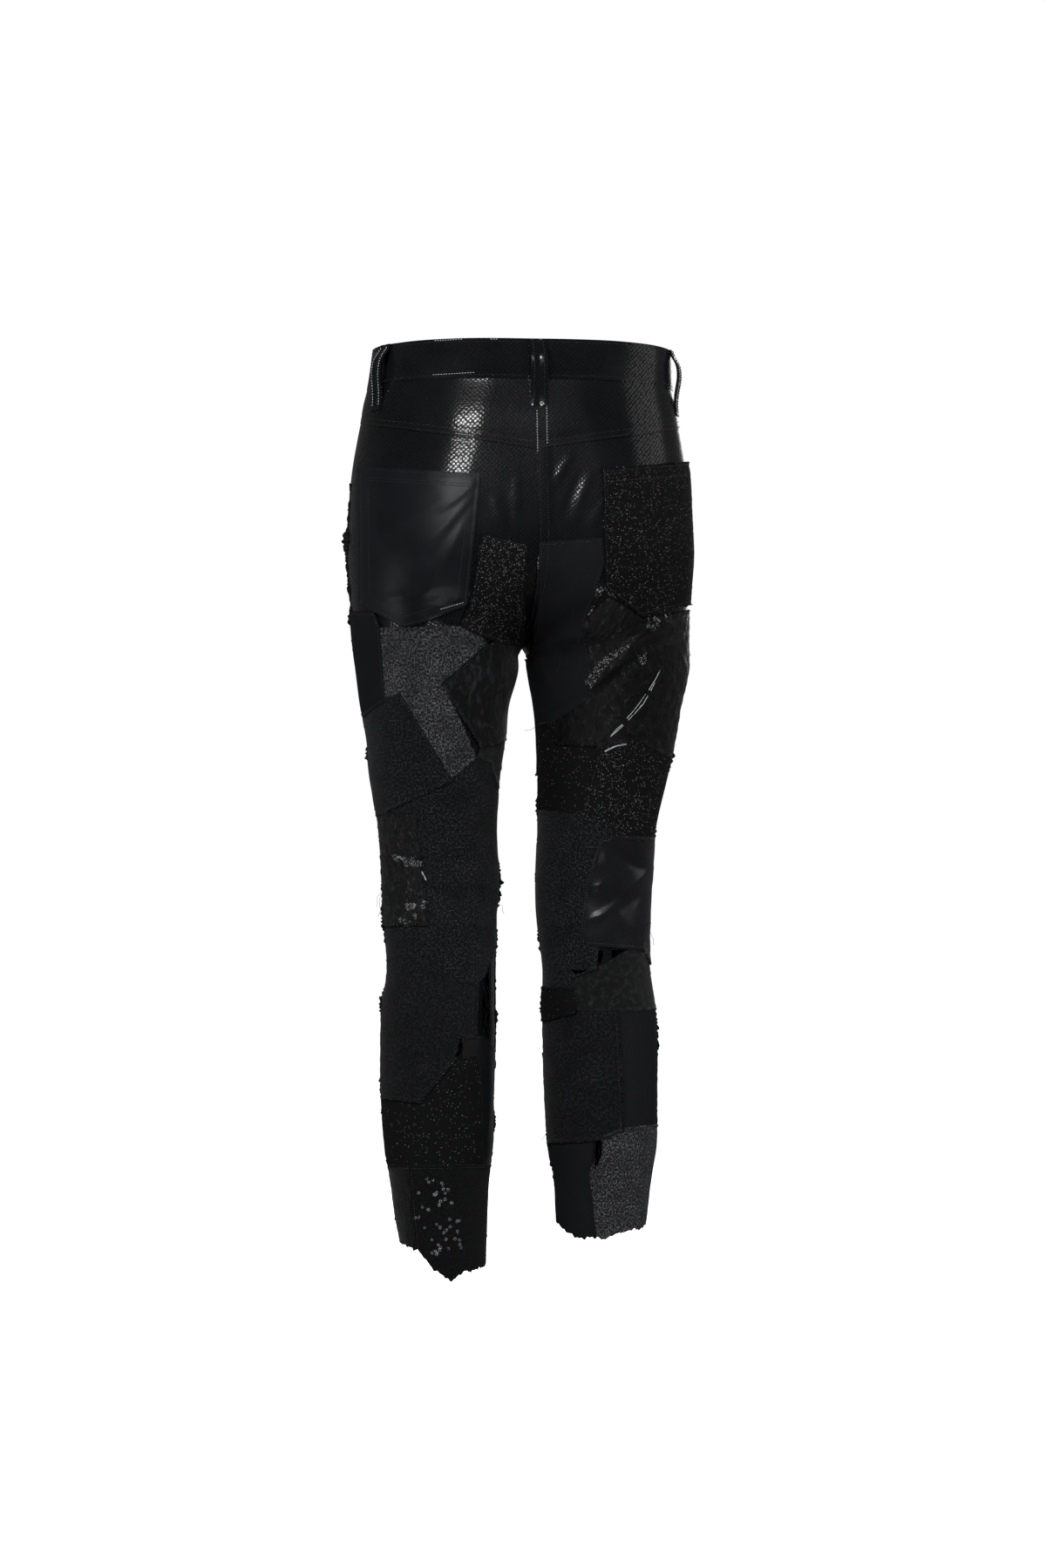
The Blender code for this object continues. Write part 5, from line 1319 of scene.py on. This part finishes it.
def strew(name, shape, origins, along, upward, sizes, cloth):
    """One mesh of many small shapes, each lying along its own way with its top upward."""
    points, faces = shape
    along = unit(along)
    across = unit(np.cross(upward, along))
    axes = np.stack([along, across, np.cross(along, across)], axis=1) * sizes[:, :, None]
    placed = origins[:, None, :] + np.einsum("vi,nij->nvj", points, axes)
    firsts = np.arange(len(origins)) * len(points)
    mesh = bpy.data.meshes.new(name)
    mesh.from_pydata(placed.reshape(-1, 3), [], (faces[None] + firsts[:, None, None]).reshape(-1, 3))
    dress(mesh, name, cloth)


def cloth_tree(pieces):
    """A search tree of the pieces' outer faces."""
    points, triangles, first = [], [], 0
    for piece in pieces:
        mesh = piece.data
        mesh.calc_loop_triangles()
        places = np.empty(len(mesh.vertices) * 3)
        mesh.vertices.foreach_get("co", places)
        corners = np.empty(len(mesh.loop_triangles) * 3, dtype=np.int32)
        mesh.loop_triangles.foreach_get("vertices", corners)
        points.append(places.reshape(-1, 3))
        triangles.append(corners.reshape(-1, 3) + first)
        first += len(mesh.vertices)
    return BVHTree.FromPolygons(np.concatenate(points).tolist(), np.concatenate(triangles).tolist())


def see_cloth(panel, spot):
    """Point and normal where the line of sight through a place of the drawing meets the cloth."""
    eye = view_point(panel)
    toward = (drawing_point(spot, panel) - eye).normalized()
    met, normal = TREES[face_of(panel)].ray_cast(eye, toward)[:2]
    if met is None or abs(normal.dot(toward)) < 0.12:
        return None
    return met, normal if normal.dot(toward) < 0 else -normal


def lay_line(panel, corners, step=RUN_STEP):
    """Runs of points and normals where a line of the drawing falls on the cloth."""
    runs, run = [], []
    for a, b in zip(corners, corners[1:]):
        count = max(int(math.dist(a, b) / step), 1)
        for index in range(count):
            spot = (a[0] + (b[0] - a[0]) * index / count, a[1] + (b[1] - a[1]) * index / count)
            found = see_cloth(panel, spot)
            if run and (found is None or (found[0] - run[-1][0]).length > 0.010):
                runs.append(run)
                run = []
            if found:
                run.append(found)
    runs.append(run)
    return [np.array([[*point, *normal] for point, normal in run]) for run in runs if len(run) > 3]


def settle_line(points):
    """A run of points brought onto the nearest cloth of the back."""
    found = [TREES["back"].find_nearest(Vector(point)) for point in points]
    run = np.array([[*near[0], *near[1]] for near in found])
    flip = np.sum(run[:, 3:] * run[:, :3] * (1, 1, 0), axis=1) < 0
    run[flip, 3:] *= -1
    return [run]


def sew(side, runs, pitch, thick=0.00036):
    """Adds a row of stitches along each run."""
    for run in runs:
        length = np.concatenate([[0.0], np.cumsum(np.linalg.norm(np.diff(run[:, :3], axis=0), axis=1))])
        if length[-1] < 2 * pitch:
            continue
        middles = np.arange(pitch / 2, length[-1] - pitch / 2, pitch)
        behind, at, ahead = (
            np.stack([np.interp(middles + shift, length, run[:, axis]) for axis in range(6)], axis=1)
            for shift in (-pitch / 3, 0.0, pitch / 3))
        sizes = np.tile((0.40 * pitch, thick, 0.8 * thick), (len(middles), 1))
        STITCHES[side].append((at[:, :3] + at[:, 3:] * 0.0001, (ahead - behind)[:, :3], at[:, 3:], sizes))


def fray(side, runs, away_from, spacing, length, chance):
    """Adds fibres that stick out of a raw edge, away from the patch's middle."""
    for run in runs:
        count = int(len(run) * RUN_STEP / spacing)
        if not count:
            continue
        chosen = run[chance.integers(0, len(run), count)]
        outward = chosen[:, :3] - away_from
        outward = unit(outward - chosen[:, 3:] * np.sum(outward * chosen[:, 3:], axis=1, keepdims=True))
        along = outward + chance.normal(0, 0.55, (count, 3))
        along += chosen[:, 3:] * chance.uniform(0.0, 0.7, (count, 1))
        reach = length * chance.uniform(0.35, 1.0, count) ** 1.5
        sizes = np.stack([reach, np.full(count, 0.0024), reach * 0.6], axis=1)
        HAIRS[side].append((chosen[:, :3] + chosen[:, 3:] * CLEAR, along, chosen[:, 3:], sizes))


def scatter(panel, corners, count, chance):
    """Random points and normals of the cloth inside an outline of the drawing."""
    low, high = np.min(corners, axis=0), np.max(corners, axis=0)
    spots = chance.uniform(low, high, (count * 3, 2))
    spots = spots[inside_outline(spots, list(corners))][:count]
    found = [see_cloth(panel, spot) for spot in spots]
    return np.array([[*entry[0], *entry[1]] for entry in found if entry])


def strew_over(name, panel, corners, count, shape, sizes_at, cloth, lean, seed):
    """Small shapes at random places of a patch; lean is how far they tip from flat to upright."""
    chance = np.random.default_rng(seed)
    found = scatter(panel, corners, count // (1), chance)
    total = len(found)
    normals = found[:, 3:]
    along = unit(np.cross(chance.normal(0, 1, (total, 3)), normals))
    along += normals * chance.uniform(*lean, (total, 1))
    upward = normals + chance.normal(0, 0.25, (total, 3))
    strew(name, shape, found[:, :3] + normals * CLEAR, along, upward, sizes_at(chance, total), cloth)


def sew_seams():
    """Rows of stitches on the waistband, yokes, centre back, pockets, fly and patches."""
    turns = np.linspace(0.02, 3.985, 900)
    rows = [round_waist(turns, np.full(900, drop), np.full(900, 0.003)) for drop in WAISTBAND_ROWS]
    shares = np.linspace(0.012, 0.985, 200)
    rows += [on_cloth(panel, shares, yoke_drop(panel, shares) + YOKE_LAP - above, 0.002)
             for panel in ("back_left", "back_right") for above in YOKE_ROWS]
    drops = np.linspace(LOOP_END + 0.002, 0.272, 180)
    girths = np.interp(drops, DROPS, CHARTS["back_right"].girths)
    rows += [on_cloth("back_right", from_seam / girths, drops, 0.002) for from_seam in FELLED_ROWS]
    for row in rows:
        sew("back", settle_line(row), SEAM_PITCH)
    for patch in PATCHES:
        side, layer = face_of(patch.panel), LAYERS.get(patch.name, 0)
        if patch.name.startswith("pocket"):
            insets = (0.0,) if patch.name == "pocket_right" else (0.0, 0.0078)
        elif patch.name == "fly":
            insets = (0.0, 0.0065)
        elif layer:
            insets = (0.0010,)
        else:
            continue
        for inset in insets:
            line = inset_outline(patch.corners, inset)
            sew(side, lay_line(patch.panel, line + line[:1]), PATCH_PITCH)
        if patch.name.startswith("pocket"):
            (ax, ay), (bx, by) = patch.corners[:2]
            sew(side, lay_line(patch.panel, [(ax, ay + 0.0105), (bx, by + 0.0105)]), PATCH_PITCH)
    # stretches in pale thread: painted glints
    for panel, start, end in PAINTED_GLINT_STITCHES:
        sew("glossy", lay_line(panel, [pixel(*start), pixel(*end)]), SEAM_PITCH)


def fray_edges():
    """Fibres on the raw edges of the patches and hems."""
    chance = np.random.default_rng(5)
    for patch in PATCHES:
        if patch.cloth in TURNED_EDGES:
            continue
        line = inset_outline(patch.corners, -OVERLAPS[LAYERS.get(patch.name, 0)])
        seen = see_cloth(patch.panel, np.mean(patch.corners, axis=0))
        middle = np.array(seen[0] if seen else drawing_point(patch.corners[0], patch.panel))
        fray(face_of(patch.panel), lay_line(patch.panel, line + line[:1]), middle, 0.0016,
             FRAYS.get(patch.cloth, 0.0028), chance)
    for panel in HEMS:
        shares = np.linspace(0.01, 0.99, 110)
        run = np.concatenate([on_cloth(panel, shares, hem_drop(panel, shares) - 0.0006, 0.0006),
                              sample(CHARTS[panel].normals, shares, hem_drop(panel, shares))], axis=1)
        above = on_cloth(panel, np.array([0.5]), np.array([0.60]))[0]
        for length in (0.005, 0.009):
            fray(face_of(panel), [run], above, 0.0007, length, chance)


def build_raw_seams():
    """The uneven raw edges that stand out of the side and inner leg seams."""
    for panel, share, start, end in (("back_left", 1, 0.130, 0.860), ("back_right", 1, 0.130, 0.846),
                                     ("back_left", 0, 0.300, 0.880), ("back_right", 0, 0.300, 0.844)):
        rows = int((end - start) / (0.0016))
        name = "raw_seam_%s_%s" % (panel[5:], "side" if share else "inner")
        mesh, places, loops = mesh_of(cloth_grid(2, rows), name)
        drop = start + places[:, 1] * (end - start)
        at = np.full(len(drop), 0.999 if share else 0.001)
        mirror = panel.replace("back", "front")
        inside = (on_cloth(panel, at, drop) + on_cloth(mirror, at, drop)) / 2
        outward = unit(sample(CHARTS[panel].normals, at, drop) + sample(CHARTS[mirror].normals, at, drop))
        line = np.stack([drop, drop * 0, drop * 0], axis=1)
        width = 0.0014 + 0.0010 * ripple(line, 0.017, share + 2.0)
        width += 0.0006 * ripple(line, 0.0050, share + 5.0)
        for flap in FLAPS:
            if flap.panel == panel and flap.share == share:
                middle, half = (flap.start + flap.end) / 2, (flap.end - flap.start) / 2
                width += 0.55 * flap.width * 0.001 * np.exp(-((drop - middle) / half) ** 4)
        uneven = 1.0 + 0.35 * np.random.default_rng(rows).uniform(-1, 1, len(drop))
        width = np.maximum(width, 0.0004) * uneven
        sway = 0.0012 * ripple(line, 0.016, 7.0 + share)
        points = inside + outward * (places[:, 0] * width)[:, None]
        points[:, 1] += sway * places[:, 0]
        set_points(mesh, points)
        flat = np.stack([places[:, 0] * 0.004, drop], axis=1)
        mesh.uv_layers["cloth"].uv.foreach_set("vector", flat[loops].ravel())
        piece = dress(mesh, name, "wool", 0.0011)
        piece.modifiers["wall"].offset = 0.0
        rim = places[:, 0] > 0.99
        order = np.argsort(drop[rim])
        normals = unit(np.cross(outward[rim][order], (0.0, 0.0, 1.0)))
        run = np.concatenate([points[rim][order], normals], axis=1)
        middle = run[:, :3].mean(axis=0) - outward.mean(axis=0)
        for each, length in ((0.0016, 0.0035), (0.006, 0.007)):
            fray("back", [run], middle, each, length, np.random.default_rng(rows))


def threads(name, lines, radius, cloth):
    """Long loose threads along lines of points."""
    curve = bpy.data.curves.new(name, "CURVE")
    curve.dimensions = "3D"
    curve.bevel_depth = radius
    curve.bevel_resolution = 0
    for line in lines:
        spline = curve.splines.new("POLY")
        spline.points.add(len(line) - 1)
        spline.points.foreach_set("co", np.concatenate([line, np.ones((len(line), 1))], axis=1).ravel())
    holder = bpy.data.objects.new(name, curve)
    mesh = bpy.data.meshes.new_from_object(holder)
    bpy.data.objects.remove(holder)
    dress(mesh, name, cloth)


def wander(start, end, seed):
    """A line of points between two places that wanders."""
    part = np.linspace(0.0, 1.0, 14)
    line = np.array(start) * (1 - part[:, None]) + np.array(end) * part[:, None]
    away = np.linalg.norm(np.array(end) - np.array(start)) * 0.06 * np.sin(np.pi * part)
    for axis in range(3):
        line[:, axis] += away * np.sin(part * (4.0 + axis) * 2 + seed * (axis + 1.7))
    return line


def build_loose_threads():
    """Hanging threads, and the thin net left across the gaps."""
    hanging = []
    for index, (panel, start, end, out) in enumerate(LOOSE_THREADS):
        first = see_cloth(panel, pixel(*start))
        if first is None:
            continue
        met, normal = (np.array(value) for value in first)
        away = np.array(drawing_point(pixel(*end), panel)) - np.array(drawing_point(pixel(*start), panel))
        hanging.append(wander(met + normal * 0.0006, met + away + normal * out * 0.001, index * 1.3))
    threads("loose_threads", hanging, 0.00016, "fibre")
    net = []
    for window in WINDOWS:
        corners = np.array(window.corners)
        middle = corners.mean(axis=0)
        chance = np.random.default_rng(len(window.name))
        grown = [corner + unit(corner - middle) * 0.002 for corner in corners]
        far, next_to_far = grown[len(grown) // 2], grown[(len(grown) // 2 + 1) % len(grown)]
        for index in range(10 if window.name == "left_inner_calf" else 3):
            part = chance.uniform(0.0, 1.0)
            first = see_cloth(window.panel, grown[0] * (1 - part) + grown[1] * part)
            second = see_cloth(window.panel, far * part + next_to_far * (1 - part))
            if first and second:
                net.append(wander(first[0], second[0], index))
    threads("net_threads", net, 0.00014, "fibre")


def lengths(low, high, proportions):
    """Draws sizes of many small shapes: a random length times their proportions."""
    return lambda chance, total: chance.uniform(low, high, (total, 1)) * np.array([proportions])


def flake_sizes(chance, total):
    """Draws sizes of flecks cut from a strip of foil."""
    return np.stack([chance.uniform(0.0004, 0.0007, total), np.full(total, 0.0004), np.full(total, 0.00006)],
                    axis=1)


def build_trims():
    """Everything small that lies on the cloth or hangs from it."""
    sew_seams()
    fray_edges()
    build_raw_seams()
    build_loose_threads()
    build_painted_highlight_cords()
    ball, hair = small_ball(), small_arc(math.radians(55), 2, 0.030)
    for name, shape, parts, cloth in (
            ("stitches_back", ball, STITCHES["back"], "thread"),
            ("frayed_edges_back", hair, HAIRS["back"], "fibre"),
            ("stitches_front", ball, STITCHES["front"], "thread"),
            ("frayed_edges_front", hair, HAIRS["front"], "fibre"),
            ("glossy_stitches", ball, STITCHES["glossy"], "glossy_thread")):
        strew(name, shape, *[np.concatenate(part) for part in zip(*parts)], cloth)
    patches = {patch.name: patch for patch in PATCHES}

    def cover(piece, name, *settings):
        strew_over(piece, patches[name].panel, patches[name].corners, *settings)

    cover("fur_pile", "patch_right_thigh_fur", 7000, small_arc(math.radians(60), 2, 0.045),
          lengths(0.0014, 0.0030, (1.0, 1.0, 0.7)), "fur_fibre", (0.1, 0.6), 3)
    tuft = small_arc(math.radians(60), 2, 0.16)
    # pale hairs where the pile lies flat: a painted highlight
    for seed, (panel, outline, count) in enumerate(HIGHLIGHT_PAINTED_TUFTS):
        strew_over("shiny_hairs_%d" % seed, panel, [pixel(*corner) for corner in outline], count, tuft,
                   lengths(0.0014, 0.0028, (1.0, 1.0, 0.7)), "shiny_hair", (0.2, 0.7), 60 + seed)
    curl = small_arc(math.radians(170), 3, 0.16)
    for seed, (name, count) in enumerate(CURLS):
        cover("curls_" + name, name, count, curl, lengths(0.0007, 0.0014, (1.0, 1.0, 0.9)), "curl_fibre",
              (-0.1, 0.3), 20 + seed)
    # pale curls on the pocket: painted glints
    cover("shiny_curls", "pocket_right", 700, curl, lengths(0.0005, 0.0009, (1.0, 1.0, 1.0)), "shiny_curl",
          (-0.1, 0.4), 33)
    flake = small_plate()
    for seed, (name, count) in enumerate(FLAKES):
        cover("foil_" + name, name, count, flake, flake_sizes, "foil", (-0.7, 0.7), 40 + seed)
    strew_over("ring_sequins", "back_left", [pixel(*spot) for spot in SEQUIN_AREA], 46,
               small_ring(0.42, 0.10), lengths(0.0014, 0.0018, (1.0, 1.0, 1.0)), "sequin_film",
               (-0.12, 0.12), 71)


# ---- light, floor and camera ----

def softbox(name, azimuth, elevation, distance, size, brightness, mirrored=True, target=(0, 0, -0.3)):
    """A soft light that faces target: azimuth from straight behind the wearer towards the left."""
    turn, rise = math.radians(azimuth), math.radians(elevation)
    away = Vector((math.sin(turn) * math.cos(rise), math.cos(turn) * math.cos(rise), math.sin(rise)))
    lamp = bpy.data.lights.new(name, "AREA")
    lamp.shape = "RECTANGLE"
    lamp.size, lamp.size_y = size
    lamp.energy = brightness * math.pi * size[0] * size[1]
    holder = bpy.data.objects.new(name, lamp)
    holder.location = Vector(target) + away * distance
    holder.rotation_euler = (-away).to_track_quat("-Z", "Y").to_euler()
    holder.visible_glossy = mirrored
    bpy.context.scene.collection.objects.link(holder)
    return holder


def set_studio():
    """Plain pale floor, an even pale surround, and soft lights."""
    scene = bpy.context.scene
    scene.view_settings.view_transform = "Standard"
    world = bpy.data.worlds.new("studio")
    scene.world = world
    world.use_nodes = True
    tree = world.node_tree
    tree.nodes.clear()
    lit, seen = (add_node(tree, "ShaderNodeBackground", {"Color": (1, 1, 1, 1), "Strength": strength})
                 for strength in (0.10, 1.0))
    ray = add_node(tree, "ShaderNodeLightPath")
    both = add_node(tree, "ShaderNodeMixShader",
                    {0: ray.outputs["Is Camera Ray"], 1: lit.outputs[0], 2: seen.outputs[0]})
    add_node(tree, "ShaderNodeOutputWorld", {"Surface": both.outputs[0]})
    floor = bmesh.new()
    bmesh.ops.create_circle(floor, cap_ends=True, segments=96, radius=9.0,
                            matrix=Matrix.Translation((0, 0, -FLOOR_DROP)))
    mesh = bpy.data.meshes.new("floor")
    floor.to_mesh(mesh)
    floor.free()
    ground = bpy.data.objects.new("floor", mesh)
    scene.collection.objects.link(ground)
    mesh.materials.append(MATERIALS["floor"])
    ground.visible_diffuse = ground.visible_glossy = False
    # even light on the matt cloths, then the softboxes that the glossy ones mirror
    softbox("key", 38, 32, 3.4, (2.0, 2.0), 4.2, mirrored=False)
    softbox("right_fill", -55, 8, 3.4, (2.0, 2.0), 2.7, mirrored=False)
    softbox("front_fill", 172, 18, 3.4, (2.2, 2.2), 6.0, mirrored=False)
    softbox("front_window", 205, 14, 3.4, (0.9, 1.4), 3.0)
    seat_light = softbox("seat_light", 12, 29, 3.0, (1.05, 0.23), 34.0, target=(0, 0, -0.11))
    # a screen keeps it off the waistband
    screened = bpy.data.collections.new("screened")
    screened.objects.link(bpy.data.objects["waistband_cloth"])
    seat_light.light_linking.receiver_collection = screened
    screened.collection_objects[0].light_linking.link_state = "EXCLUDE"
    softbox("hip_light", -84, 20, 3.0, (2.0, 1.6), 0.75, target=(0, 0, -0.11))
    softbox("knee_light", 84, -8, 2.6, (0.4, 0.9), 3.5, target=(0, 0, -0.66))
    softbox("low_bounce", 12, -42, 2.4, (1.3, 0.4), 6.0, target=(0, 0, -0.30))


def set_camera():
    """The photograph's viewpoint: level, and turned a little towards the wearer's left."""
    lens = bpy.data.cameras.new("photograph")
    lens.lens, lens.sensor_width, lens.sensor_fit = 94.2, 36.0, "AUTO"
    lens.clip_end = 60
    viewer = bpy.data.objects.new("photograph", lens)
    away = Vector((math.sin(VIEW_TURN), math.cos(VIEW_TURN), 0.0))
    to_the_right = Vector((-math.cos(VIEW_TURN), math.sin(VIEW_TURN), 0.0))
    aside = to_the_right * (PHOTO_MIDDLE - ORIGIN_COLUMN) * PIXEL
    viewer.location = away * VIEW_DISTANCE + aside + Vector((0, 0, -VIEW_DROP))
    viewer.rotation_euler = (-away).to_track_quat("-Z", "Y").to_euler()
    bpy.context.scene.collection.objects.link(viewer)
    bpy.context.scene.camera = viewer


MATERIALS = make_materials()
CHARTS = {panel: lay_chart(panel) for panel in HEMS}
SURFACES = {"back": [], "front": []}
STITCHES, HAIRS = {"back": [], "front": [], "glossy": []}, {"back": [], "front": []}

build_base_panels()
build_yokes()
build_patches()
build_piping()
build_waistband()
build_loops()
build_button()
TREES = {side: cloth_tree(SURFACES[side]) for side in SURFACES}
build_trims()
set_studio()
set_camera()
